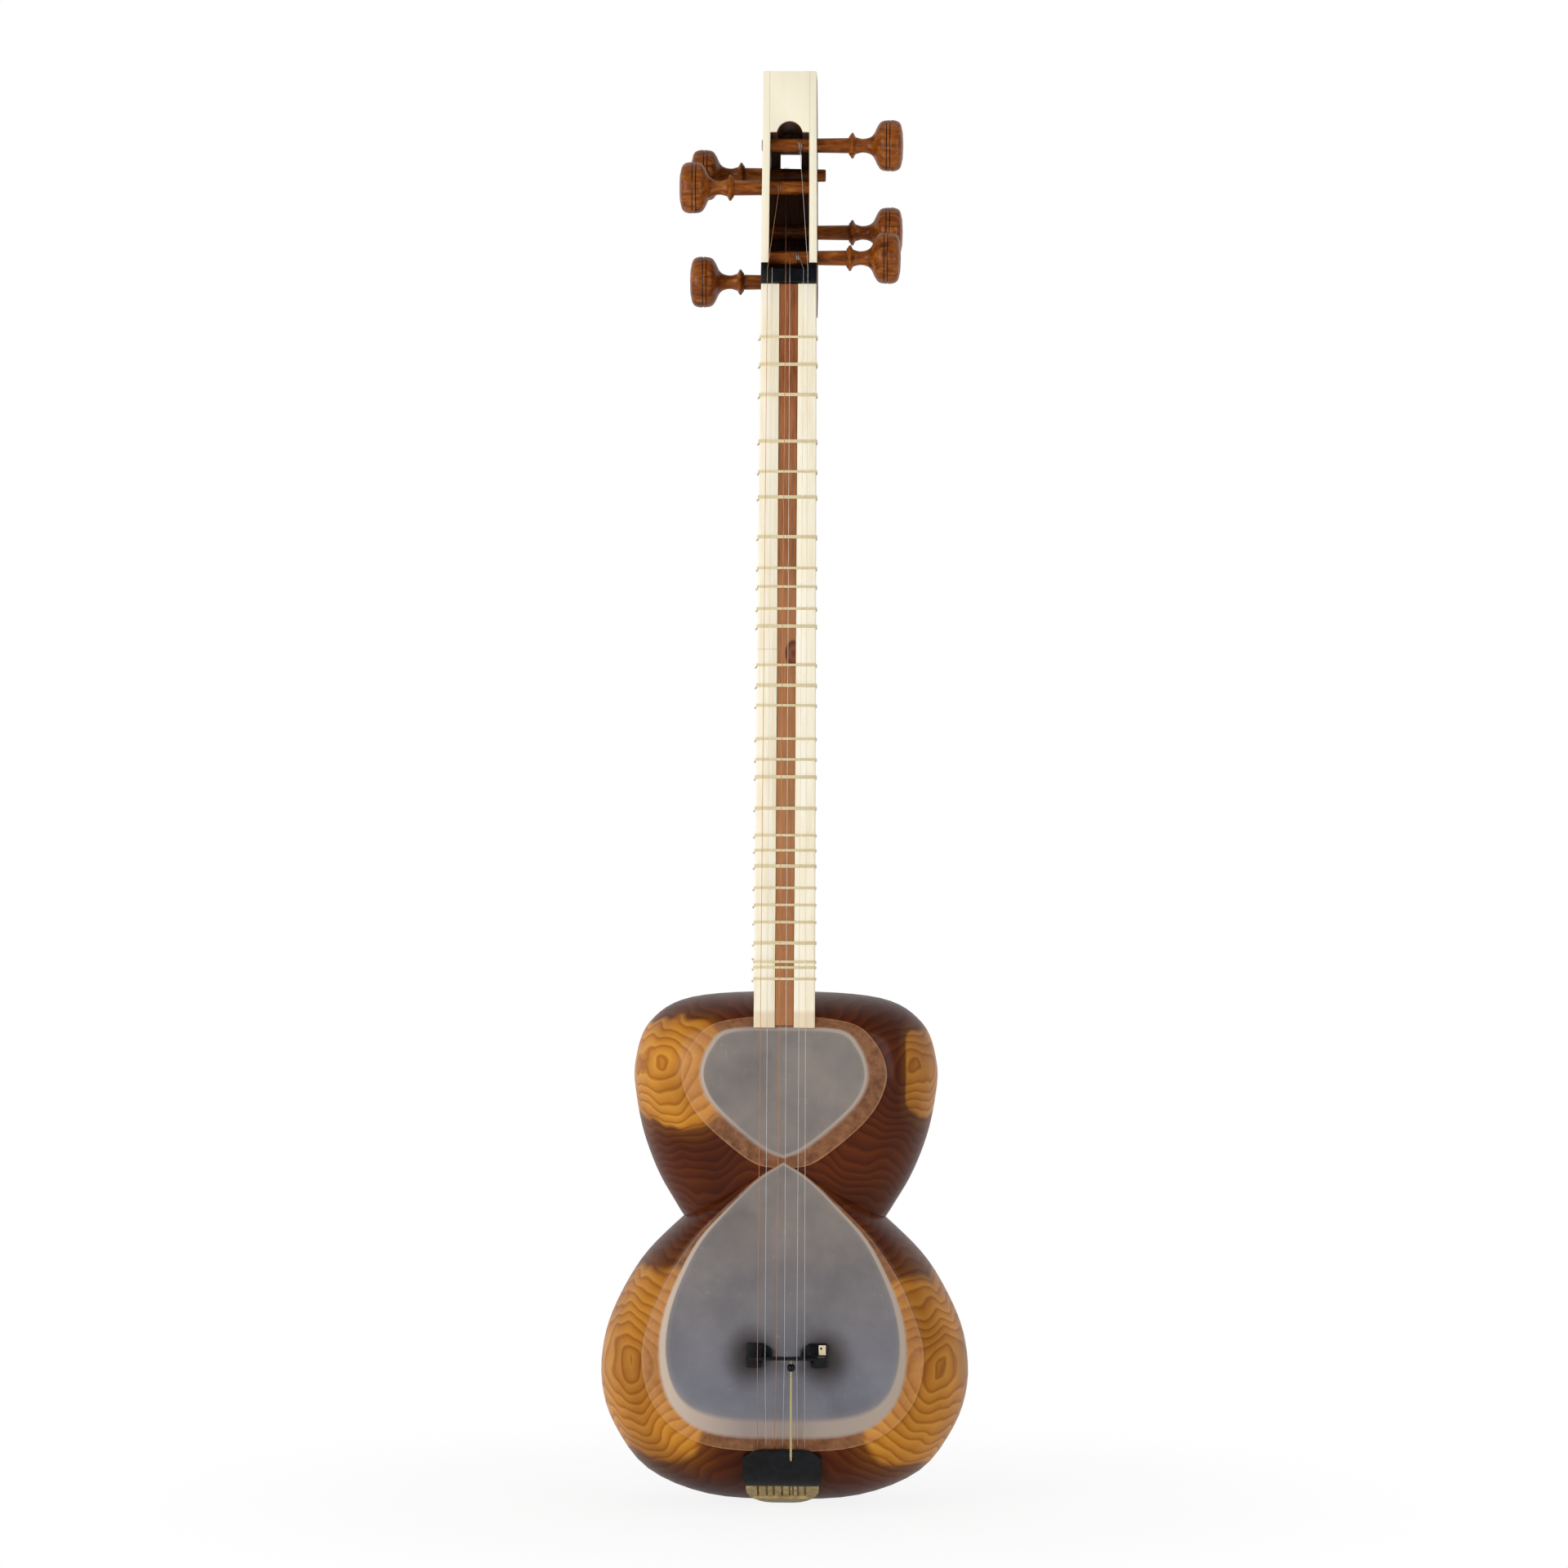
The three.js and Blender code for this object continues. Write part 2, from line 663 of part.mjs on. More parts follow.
function makePegbox() {
  const side = outlineShape([
    [0, boneThickness], [headLength, boneThickness], [headLength, headTopDepth],
    [headLength - headShoulder, headDepth - boneThickness], [slotTop, headDepth],
    [boneThickness, headDepth], [-tongueLength / 2, lerp(neckDepthAtNut, headDepth, 0.4)],
    [-tongueLength, neckDepthAtNut], [-tongueLength, tongueDepth], [0, tongueDepth],
  ]);
  const shell = sidePlate(side, -headHalfWidthAtNut, headHalfWidthAtNut);
  const slot = frontPlate(slotShape(0), boneThickness - overrun, headDepth - headWall);
  const underNut = block(
    [-slotHalfWidth, slotHalfWidth], [underNutDepth, headDepth - headWall], [0, nutLength + overrun],
  );
  const rearWindow = block(
    [-windowHalfWidth, windowHalfWidth], [headDepth - headWall - overrun, headDepth + overrun],
    [windowLow, windowHigh],
  );
  return tapered(cut(shell, slot, underNut, rearWindow, ...pegs.map(pegHole)));
}

function makeHeadFacing() {
  const low = nutLength + hornLength + seatGap;
  const plate = frontPlate(outlineShape([
    [-headHalfWidthAtNut, low], [headHalfWidthAtNut, low],
    [headHalfWidthAtNut, headLength], [-headHalfWidthAtNut, headLength],
  ]), 0, boneThickness - seatGap);
  return tapered(cut(plate, frontPlate(slotShape(0), -overrun, boneThickness + overrun)));
}

// The nut carries the strings on its lower edge and has a horn up each side of the box.
function makeNut() {
  const under = boneThickness - seatGap;
  const profile = outlineShape([
    [seatGap, under], [seatGap, -nutHeight * 0.7], [seatGap * 3, -nutHeight],
    [nutLength - seatGap, nutFall - nutHeight], [nutLength, 0], [nutLength, under],
  ]);
  const ridge = sidePlate(profile, -neckHalfWidthAtNut, neckHalfWidthAtNut);
  const horn = (side) => {
    const across = [side * neckHalfWidthAtNut, side * (neckHalfWidthAtNut - hornWidth)].sort((a, b) => a - b);
    return block(across, [0, under], [nutLength - overrun, nutLength + hornLength]);
  };
  return join(ridge, horn(-1), horn(1));
}

// Tail: pieces that follow the foot of the large bowl, stations by their share of the way
// from the rim's edge to the lowest ring

const largeForm = bowlForm(largeBowl);
const smallForm = bowlForm(smallBowl);
const footIndex = largeForm.land.length / 2;
const footTop = largeForm.land[footIndex].z;
const footDepth = largeForm.widestDepth[footIndex];

// A place above the bowl's foot: sweep is 0 at the rim's edge and a quarter turn at the lowest ring.
function onFoot(x, sweep, lift) {
  const rise = footTop - largeBowl.base;
  const point = new THREE.Vector3(x, footDepth * (1 - Math.cos(sweep)), footTop - rise * Math.sin(sweep));
  const facing = new THREE.Vector3(0, -Math.cos(sweep) / footDepth, -Math.sin(sweep) / rise).normalize();
  return point.addScaledVector(facing, lift);
}

const quarter = Math.PI / 2;
const padStations = [
  [0.09, 0.5], [0.1, 0.68], [0.115, 0.79], [0.135, 0.9], [0.155, 0.98], [0.2, 1], [0.27, 1],
  [0.34, 1], [0.395, 0.98], [0.425, 0.9],
].map(([sweepShare, widthShare]) => ({ sweep: sweepShare * quarter, half: widthShare * padHalfWidth }));
const tailStations = [
  [0.44, 0.97], [0.5, 1], [0.56, 0.98], [0.62, 0.91], [0.68, 0.8], [0.74, 0.66], [0.8, 0.5],
  [0.86, 0.3],
].map(([sweepShare, widthShare]) => ({ sweep: sweepShare * quarter, half: widthShare * tailHalfWidth }));
const padStart = padStations[0].sweep;
const padEnd = padStations[padStations.length - 1].sweep;
const tailStart = tailStations[0].sweep;
const lipSweep = quarter * 0.62;
const edgeSweep = seatGap / footDepth;

function footPlate(stations, low, high) {
  return cappedLoft(stations.map(({ sweep, half, x = 0 }) => [
    onFoot(x - half, sweep, low), onFoot(x + half, sweep, low),
    onFoot(x + half, sweep, high), onFoot(x - half, sweep, high),
  ]));
}

function tetherPoints() {
  const lift = tetherDiameter / 2 + slotFloor + seatGap / 3;
  const overPad = padLift + padThickness + seatGap + tetherDiameter / 2;
  const shares = [0.53, 0.47, 0.41, 0.35, 0.28, 0.21];
  const beneath = shares.map((share) => onFoot(tetherPlace, share * quarter, lift));
  const last = onFoot(tetherPlace, padStart + edgeSweep, overPad);
  const bead = beadCentre();
  const way = bead.clone().sub(last).normalize();
  return [
    onFoot(tetherPlace, lipSweep - 4 * edgeSweep, lift), ...beneath,
    onFoot(tetherPlace, lerp(padStart, quarter * shares[shares.length - 1], 0.5), overPad), last,
    bead.addScaledVector(way, -beadRadius * 0.6),
  ];
}

function beadCentre() {
  const middle = (bridgeHeight + skinTop) / 2;
  return new THREE.Vector3(tetherPlace, -middle, bridgePlace - beadDrop);
}

const skinTop = seatGap + skinThickness;

function makeTether() {
  const radius = tetherDiameter / 2;
  const bead = new THREE.SphereGeometry(beadRadius, 10, 8);
  const middle = beadCentre();
  bead.translate(middle.x, middle.y, middle.z);
  const beam = bridgePlace - beamThickness / 2 - seatGap;
  const loop = bar([middle, new THREE.Vector3(middle.x, middle.y, beam)], radius, stringSides, tetherStrands);
  return join(bar(tetherPoints(), radius, stringSides, tetherStrands), bead, loop);
}

function makePad() {
  const plate = footPlate(padStations, seatGap, padLift + padThickness);
  const whole = [padStart - 2 * edgeSweep, ...padStations.slice(1, -1).map((station) => station.sweep)];
  whole.push(padEnd + 2 * edgeSweep);
  const half = padHalfWidth - padRail;
  const recess = footPlate(whole.map((sweep) => ({ sweep, half })), -seatGap, padLift);
  const channel = bar(tetherPoints(), tetherDiameter / 2 + seatGap, stringSides, 1.8);
  return cut(plate, recess, channel);
}

function tailSlot(x, width, end) {
  const sweeps = [tailStart - 2 * edgeSweep, lerp(tailStart, end, 0.5), end];
  return footPlate(sweeps.map((sweep) => ({ sweep, half: width / 2, x })), slotFloor, tailThickness * 2);
}

function makeTailpiece() {
  const plate = footPlate(tailStations, seatGap, seatGap + tailThickness);
  const reach = tailLipLength / footDepth;
  const lipHalf = tailStations[4].half;
  const lip = footPlate([
    { sweep: lipSweep, half: lipHalf }, { sweep: lipSweep + reach, half: lipHalf },
  ], tailThickness, seatGap + tailThickness + tailLipHeight);
  const end = lipSweep - edgeSweep;
  const slots = strings.map((string) => tailSlot(string.tailShare * tailHalfWidth, slotWidth, end));
  slots.push(tailSlot(tetherPlace, tetherStrands * tetherDiameter + 2 * seatGap, end));
  return cut(join(plate, lip), ...slots);
}

// Bridge: a thin beam on two splayed legs, each with a broad foot on the skin

function makeBridge() {
  const foot = skinTop + seatGap;
  const top = bridgeHeight - copperGauge / 2 - 1.5 * seatGap;
  const arch = outlineShape([
    [-bridgeHalfWidth, -top], [bridgeHalfWidth, -top], [bridgeHalfWidth, -top + beamHeight / 2],
    [legOuter, -top + beamHeight], [legOuter, -foot], [legInner, -foot],
    [legInner, -top + beamHeight * 1.4], [0, -top + beamHeight * 0.8], [-legInner, -top + beamHeight * 1.4],
    [-legInner, -foot], [-legOuter, -foot], [-legOuter, -top + beamHeight],
    [-bridgeHalfWidth, -top + beamHeight / 2],
  ]);
  const half = beamThickness / 2;
  const beam = stripped(new THREE.ExtrudeGeometry(arch, { depth: beamThickness, bevelEnabled: false }));
  beam.translate(0, 0, bridgePlace - half);
  const parts = [beam];
  for (const side of [-1, 1]) {
    const outline = outlineShape(footShares.map(([out, along]) => [
      side * lerp(footInner, bridgeHalfWidth, out), bridgePlace + along * footReach,
    ]));
    parts.push(frontPlate(outline, -foot - footThickness, -foot));
    const gusset = outlineShape([
      [bridgePlace - gussetLowShare * footReach, -foot], [bridgePlace + gussetHighShare * footReach, -foot],
      [bridgePlace + half, -top + beamHeight], [bridgePlace - half, -top + beamHeight],
    ]);
    const centre = side * (legOuter - half);
    parts.push(sidePlate(gusset, centre - half, centre + half));
  }
  return join(...parts).translate(bridgeShift, 0, 0);
}

// Strings: over the tail, the pad and the bridge, up the neck, over the nut and back to the pegs

function stringRadius(string) {
  return string.gauge / 2;
}

function windingRadius(peg) {
  const shaft = pegShaftRadius(peg, headHalfWidthAtNut + peg.reach - peg.side * peg.at);
  return shaft + seatGap + stringRadius(strings[peg.string]);
}

// Where a line from a start meets a circle round a peg on its upper front side, both in [height, depth]
function contact(start, peg, radius) {
  const rise = peg.height - start[0];
  const back = peg.row - start[1];
  const angle = Math.atan2(back, rise) - Math.asin(radius / Math.hypot(rise, back));
  return [peg.height + radius * Math.sin(angle), peg.row - radius * Math.cos(angle)];
}

function pegByName(name) {
  return pegs.find((peg) => peg.name === name);
}

function stringPoints(string, peg) {
  const radius = stringRadius(string);
  const lift = radius + seatGap;
  const bridgeX = string.bridgeShare * bridgeHalfWidth;
  const nutX = string.nutShare * neckHalfWidthAtNut;
  const tailX = string.tailShare * tailHalfWidth;
  const foot = [
    lipSweep - 3 * edgeSweep, lerp(padEnd, lipSweep, 0.5), padEnd, lerp(padEnd, padStart, 0.33),
    lerp(padEnd, padStart, 0.67), padStart,
  ];
  const points = [
    ...foot.map((sweep, i) => onFoot(lerp(tailX, bridgeX, (i / foot.length) * 0.4), sweep, stringLift)),
    new THREE.Vector3(bridgeX, -bridgeHeight, bridgePlace),
    fromNeck(nutX, -nutHeight - lift, neckLength + seatGap * 3),
  ];
  // From here on places are [height above the nut, depth] in the neck's frame.
  const leaves = [nutLength - seatGap, nutFall - nutHeight - lift];
  let route = [leaves];
  if (peg.height < nutLength) {
    route.push([nutLength + radius + seatGap, -nutHeight], [nutLength + lift + radius, -nutHeight * 0.4]);
  }
  const front = pegByName("peg_right_low");
  if (peg.row === rearRow && peg.height > front.height && peg.height < 2.5 * front.height) {
    const pass = pegShaftRadius(front, headHalfWidthAtNut + front.reach) + lift;
    const first = contact(leaves, front, pass);
    const angle = Math.atan2(peg.row - front.row, peg.height - front.height);
    route.push(first, [front.height + pass * Math.sin(angle), front.row - pass * Math.cos(angle)]);
  }
  const from = route[route.length - 1];
  const round = windingRadius(peg);
  const meet = contact(from, peg, round);
  const clear = Math.sqrt((round + 2 * lift) ** 2 - (round - radius) ** 2);
  const way = [meet[0] - from[0], meet[1] - from[1]];
  const length = Math.hypot(way[0], way[1]);
  route.push([meet[0] - (way[0] / length) * clear, meet[1] - (way[1] / length) * clear]);
  const whole = route[route.length - 1][0] - leaves[0] + route[route.length - 1][1] - leaves[1];
  for (const [height, depth] of route) {
    const share = (height - leaves[0] + depth - leaves[1]) / whole;
    points.push(fromNeck(lerp(nutX, peg.at, share), depth, neckLength + height));
  }
  return points;
}

function windingPoints(peg) {
  const string = strings[peg.string];
  const pitch = string.gauge + windingSpace;
  const radius = windingRadius(peg);
  const count = windingTurns * windingSteps;
  return Array.from({ length: count + 1 }, (_, i) => {
    const angle = (fullTurn * i) / windingSteps;
    const along = (i / windingSteps - windingTurns / 2) * pitch;
    return new THREE.Vector3(
      peg.at + peg.side * along, peg.row - radius * Math.cos(angle), peg.height + radius * Math.sin(angle),
    );
  });
}

// The least clear space between one turn of a winding and the next
function leastGap(points, gauge) {
  let least = Infinity;
  for (let i = 0; i < points.length; i++) {
    for (let j = i + windingSteps / 2; j < points.length; j++) {
      least = Math.min(least, points[i].distanceTo(points[j]) - gauge);
    }
  }
  return least;
}

// Assembly

const tar = new THREE.Group();
const frontReach = bridgeHeight + copperGauge / 2;
const tailFoot = onFoot(0, tailStations[tailStations.length - 1].sweep, seatGap + tailThickness);
tar.position.set(0, (frontReach - largeBowl.depth) / 2, -tailFoot.z);
tar.add(neckFrame);
const headFrame = new THREE.Group();
headFrame.position.z = neckLength;
neckFrame.add(headFrame);

function place(parent, name, geometry, finish) {
  geometry.computeVertexNormals();
  const mesh = new THREE.Mesh(geometry, finishes[finish]);
  mesh.name = name;
  parent.add(mesh);
}

function makeBody() {
  const outside = [bowlOutside(largeForm, 0, 0), bowlOutside(smallForm, 0, 0)].map(solidOf);
  const inside = [bowlInside(largeForm), bowlInside(smallForm)].map(solidOf);
  const pocketEnds = [neckTenon - seatGap, smallBowl.depth].map(neckPocketRing);
  const pocket = fanned(pocketEnds, neckSideDepth);
  pocket.applyMatrix4(neckFrame.matrix);
  const whole = outside[0].add(outside[1]).subtract(inside[0].add(inside[1])).subtract(solidOf(pocket));
  const reach = 2 * largeBowl.halfWidth;
  const half = (side) => {
    const edges = [side * glueLine / 2, side * reach].sort((a, b) => a - b);
    const room = block(edges, [-reach, reach], [-reach, 2 * reach]);
    return geometryOf(whole.intersect(solidOf(room)));
  };
  place(tar, "body_left", half(-1), "mulberry");
  place(tar, "body_right", half(1), "mulberry");
  const neckRoom = fanned([neckPocketRing(-seatGap), neckPocketRing(smallBowl.depth)], neckSideDepth);
  neckRoom.applyMatrix4(neckFrame.matrix);
  const clear = 2 * seatGap;
  const reachFront = 2 * boneThickness;
  const largeSkin = cut(skinSheet(largeForm), bowlOutside(smallForm, clear, reachFront));
  const smallSkin = cut(skinSheet(smallForm), bowlOutside(largeForm, clear, reachFront), neckRoom);
  place(tar, "skin_large", largeSkin, "skin");
  place(tar, "skin_small", smallSkin, "skin");
}

makeBody();
place(neckFrame, "neck", makeNeck(), "walnut");
for (const [name, side] of [["bone_left", -1], ["bone_right", 1]]) {
  const rings = [boneRing(side, 0), boneRing(side, neckLength)];
  place(neckFrame, name, cappedLoft(rings), "bone");
}
fretPlaceShares.forEach((share, i) => {
  const height = neckLength - share * frettedLength;
  const name = `fret_${String(i + 1).padStart(2, "0")}`;
  place(neckFrame, name, fretLoop(height, fretTurns[i]), "gut");
});
place(headFrame, "pegbox", makePegbox(), "walnut");
place(headFrame, "head_facing", makeHeadFacing(), "bone");
place(headFrame, "nut", makeNut(), "horn");
for (const peg of pegs) {
  const string = strings[peg.string];
  const metal = string.gauge === copperGauge ? "copper" : "steel";
  const number = peg.string + 1;
  place(headFrame, peg.name, makePeg(peg), "pegWood");
  const turns = windingPoints(peg);
  place(headFrame, `winding_${number}`, bar(turns, stringRadius(string), windingSides), metal);
  console.log(`winding_${number}: least gap to itself ${leastGap(turns, string.gauge).toFixed(2)} mm`);
  place(tar, `string_${number}`, bar(stringPoints(string, peg), stringRadius(string), stringSides), metal);
}
place(tar, "bridge", makeBridge(), "horn");
place(tar, "bridge_tether", makeTether(), "cord");
place(tar, "tail_pad", makePad(), "horn");
place(tar, "tailpiece", makeTailpiece(), "paleHorn");

export default tar;
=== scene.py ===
# A Persian tar: two carved mulberry bowls under skin faces, a bone-faced walnut neck with tied gut frets,
# and six turned pegs in an open pegbox. Sizes in the helpers are in millimetres, in the same frame as the
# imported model: +Z up the neck, strings to -Y. Every finished piece is in metres at the origin.

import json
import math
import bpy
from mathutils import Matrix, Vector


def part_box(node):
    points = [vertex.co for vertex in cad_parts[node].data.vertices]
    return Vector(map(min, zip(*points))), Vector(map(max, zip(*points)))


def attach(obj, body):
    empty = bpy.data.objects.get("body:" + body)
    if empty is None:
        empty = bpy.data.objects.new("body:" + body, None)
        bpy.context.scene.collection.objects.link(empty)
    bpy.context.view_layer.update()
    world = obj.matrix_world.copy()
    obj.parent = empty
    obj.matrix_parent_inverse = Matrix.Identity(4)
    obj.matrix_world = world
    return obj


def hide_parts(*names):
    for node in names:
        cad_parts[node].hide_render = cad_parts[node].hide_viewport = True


bl_info = {
    "name": "Persian Tar",
    "version": (1, 0, 0),
    "blender": (4, 5, 0),
    "location": "3D View > Sidebar > Tar",
    "description": "Models and finishes a Persian tar around its packed frame",
    "category": "Add Mesh",
}

from collections import namedtuple

import bpy
from mathutils import Matrix, Vector

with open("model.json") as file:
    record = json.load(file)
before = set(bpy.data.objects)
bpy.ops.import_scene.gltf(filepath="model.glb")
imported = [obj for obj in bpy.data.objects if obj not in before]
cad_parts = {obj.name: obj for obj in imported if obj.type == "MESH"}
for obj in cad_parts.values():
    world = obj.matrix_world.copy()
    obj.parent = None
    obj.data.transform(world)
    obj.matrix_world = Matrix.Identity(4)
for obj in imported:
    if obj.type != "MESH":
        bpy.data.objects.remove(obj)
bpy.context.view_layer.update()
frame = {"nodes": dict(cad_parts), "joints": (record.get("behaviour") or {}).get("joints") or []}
NODES = frame["nodes"]

MM = 0.001
QUARTER = math.pi / 2
# Two corners nearer than this, in metres, are one.
MERGE = 1e-6
# Faces that turn by less than this lie in one plane.
FLAT = math.radians(0.5)
# Angles past which an edge stays sharp.
CREASE = math.radians(35)
FINE_CREASE = math.radians(32)
FILM_CREASE = math.radians(40)
CORD_CREASE = math.radians(50)

SEAT_GAP = 0.3
TAIL_THICKNESS = 2.2
BOWL_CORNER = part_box("body_left")[0]
SHIFT = Vector((0, BOWL_CORNER[1] / MM, BOWL_CORNER[2] / MM - SEAT_GAP - TAIL_THICKNESS))

# Outlines run from the pointed tip at the waist to the far end: shares of half width and length.
LARGE_BOWL = {
    "base": 2.5, "length": 227, "half": 121.3, "depth": 160, "pole": 0.43, "steps": 4,
    "opening": [(0, 0.988), (0.127, 0.944), (0.289, 0.859), (0.434, 0.769), (0.542, 0.657), (0.602, 0.559),
                (0.622, 0.465), (0.599, 0.385), (0.542, 0.326), (0.441, 0.289), (0.269, 0.269), (0, 0.265)],
    "land": [(0, 0.997), (0.137, 0.949), (0.299, 0.865), (0.451, 0.775), (0.565, 0.663), (0.635, 0.562),
             (0.66, 0.463), (0.641, 0.365), (0.581, 0.293), (0.47, 0.24), (0.297, 0.214), (0, 0.209)],
    "widest": [(0, 1), (0.181, 0.967), (0.371, 0.905), (0.603, 0.799), (0.781, 0.696), (0.919, 0.566),
               (0.986, 0.456), (0.997, 0.335), (0.927, 0.214), (0.742, 0.086), (0.412, 0.014), (0, 0)],
    "widest_depth": [0.26, 0.27, 0.29, 0.33, 0.38, 0.41, 0.42, 0.42, 0.42, 0.41, 0.4, 0.4],
    "lap": [0.04, 0.06, 0.1, 0.135, 0.2, 0.22, 0.28, 0.26, 0.22, 0.18, 0.18, 0.18],
}
SMALL_BOWL = {
    "base": 166.5, "length": 171.3, "half": 99.7, "depth": 126, "pole": 0.55, "steps": 6,
    "opening": [(0, 0.393), (0.102, 0.419), (0.245, 0.479), (0.42, 0.572), (0.5, 0.643), (0.52, 0.714),
                (0.467, 0.795), (0.35, 0.853), (0, 0.862)],
    "land": [(0, 0.381), (0.108, 0.406), (0.256, 0.468), (0.433, 0.562), (0.521, 0.636), (0.542, 0.714),
             (0.491, 0.802), (0.367, 0.866), (0, 0.875)],
    "widest": [(0, 0), (0.502, 0.047), (0.765, 0.228), (0.918, 0.414), (0.991, 0.595), (0.998, 0.73),
               (0.903, 0.879), (0.622, 0.976), (0, 1)],
    "widest_depth": [0.35, 0.36, 0.42, 0.48, 0.5, 0.5, 0.48, 0.46, 0.45],
    "lap": [0.1, 0.145, 0.18, 0.224, 0.257, 0.27, 0.24, 0.24, 0.355],
}
GLUE_LINE = 0.04

NECK_LENGTH = 485.4
NECK_END = 316.4
NECK_HALF = (19.9, 18.1)
NECK_DEPTH = (36, 33)
NECK_SIDE_DEPTH = 8
BONE = 3
BONE_EDGE = 0.8
STRIP_HALF = 5.8
TONGUE_LENGTH = 18
TONGUE_DEPTH = 16
FRET_AXIS = next(j["axis"] for j in frame["joints"] if j["name"] == "fret_01_slide")
LEAN = -math.atan2(FRET_AXIS[1], FRET_AXIS[2])
NECK = Matrix.Translation((0, -BONE, NECK_END)) @ Matrix.Rotation(LEAN, 4, "X")

BRIDGE_HEIGHT = 19
BRIDGE_PLACE = 103.2
BRIDGE_SHIFT = 2.6
BRIDGE_HALF = 26
SKIN_TOP = 0.9
TETHER_PLACE = 5.8
BEAD_DROP = 6.5
PAD_TOP = 4.6
STRING_LENGTH = NECK_END + NECK_LENGTH - BRIDGE_PLACE
NUT_HEIGHT = 2.5
NUT_FALL = 0.3
NUT_LENGTH = 9.6

# Shares of the string length, from the nut down.
FRET_PLACES = [0.0501, 0.0759, 0.1043, 0.148, 0.1764, 0.2003, 0.2375, 0.2667, 0.2841, 0.3046, 0.321, 0.3573,
               0.3763, 0.395, 0.4261, 0.4454, 0.4617, 0.4909, 0.516, 0.53, 0.5447, 0.5649, 0.5808, 0.5968,
               0.6161, 0.6336, 0.6389, 0.6495]
FRET_TURNS = [3, 4, 4, 4, 3, 4, 4, 3, 3, 3, 4, 3, 4, 3, 3, 3, 4, 4, 3, 3, 4, 3, 3, 3, 4, 3, 3, 3]

HEAD_HALF = 18.45
FRONT_ROW = 11.5
REAR_ROW = 42.5
KNOB = 16.7
PEG_HEAD = 35.5
GROOVES = (24.6, 26.9)
SHAFT_RADII = (5, 4.1)
WINDING_TURNS = 3
SLOT_TOP = 99.7
Peg = namedtuple("Peg", "side height row reach stub string place")
# Heights are shares of the slot's top. The reach of the shaft outside the box, its stub past the far wall
# and the winding's place across the box are shares of the head's half width.
PEG_SHARES = {
    "peg_right_top": Peg(1, 0.929, FRONT_ROW, 1.095, 0, 5, 0.352),
    "peg_left_top": Peg(-1, 0.781, REAR_ROW, 0.645, 0.26, 2, -0.163),
    "peg_left_middle": Peg(-1, 0.647, FRONT_ROW, 0.986, 0, 0, -0.352),
    "peg_right_middle": Peg(1, 0.4, REAR_ROW, 1.095, 0, 3, -0.054),
    "peg_right_low": Peg(1, 0.185, FRONT_ROW, 1.03, 0, 4, 0.298),
    "peg_left_low": Peg(-1, 0.068, REAR_ROW, 0.65, 0, 1, -0.461),
}
PEGS = {
    name: peg._replace(height=peg.height * SLOT_TOP, reach=peg.reach * HEAD_HALF, stub=peg.stub * HEAD_HALF,
                       place=peg.place * HEAD_HALF)
    for name, peg in PEG_SHARES.items()
}
BRONZE = 0.5
STEEL = 0.4
Wire = namedtuple("Wire", "gauge tail bridge nut")
# Places across are shares of half the tailpiece, half the bridge and half the neck's upper end.
STRINGS = [
    Wire(BRONZE, -0.67, -0.61, -0.77), Wire(STEEL, -0.43, -0.42, -0.6), Wire(BRONZE, -0.24, -0.14, -0.11),
    Wire(STEEL, -0.01, 0.06, 0.04), Wire(STEEL, 0.43, 0.37, 0.53), Wire(STEEL, 0.62, 0.56, 0.69),
]
TAIL_HALF = 23.8
STRING_LIFT = 1.3
# Places on the foot of the large bowl, as shares of a quarter turn from its rim.
PAD_ENDS = (0.09, 0.425)
LIP = 0.62


def at(x, y, z):
    """A point of the tar's own frame, in metres in the model's frame."""
    return (Vector((x, y, z)) + SHIFT) * MM


def neck_at(x, y, z):
    """A point of the tilted neck's frame, in metres in the model's frame."""
    return at(*(NECK @ Vector((x, y, z))))


def lerp(a, b, t):
    return a + (b - a) * t


def smooth_place(controls, place):
    """The value at a place along the smooth curve through the controls, counted in spans."""
    i = min(int(place), len(controls) - 2)
    t = place - i
    b, c = controls[i], controls[i + 1]
    a = controls[i - 1] if i else 2 * b - c
    d = controls[i + 2] if i + 2 < len(controls) else 2 * c - b
    bend = (2 * a - 5 * b + 4 * c - d) * t * t
    return 0.5 * (2 * b + (c - a) * t + bend + (3 * b - a - 3 * c + d) * t ** 3)


def circle(count):
    """Directions round a circle."""
    angles = [2 * math.pi * i / count for i in range(count)]
    return [(math.cos(angle), math.sin(angle)) for angle in angles]


def select_only(*pieces):
    bpy.ops.object.select_all(action="DESELECT")
    for piece in pieces:
        piece.select_set(True)
    bpy.context.view_layer.objects.active = pieces[0]


def edit(piece, mode="VERT"):
    select_only(piece)
    bpy.ops.object.mode_set(mode="EDIT")
    bpy.ops.mesh.select_mode(type=mode)
    bpy.ops.mesh.select_all(action="DESELECT")


def select_vertices(piece, numbers):
    bpy.ops.mesh.select_all(action="DESELECT")
    bpy.ops.object.mode_set(mode="OBJECT")
    chosen = set(numbers)
    for vertex in piece.data.vertices:
        vertex.select = vertex.index in chosen
    bpy.ops.object.mode_set(mode="EDIT")


def face_outwards(piece):
    edit(piece)
    bpy.ops.mesh.select_all(action="SELECT")
    bpy.ops.mesh.normals_make_consistent(inside=False)
    bpy.ops.object.mode_set(mode="OBJECT")


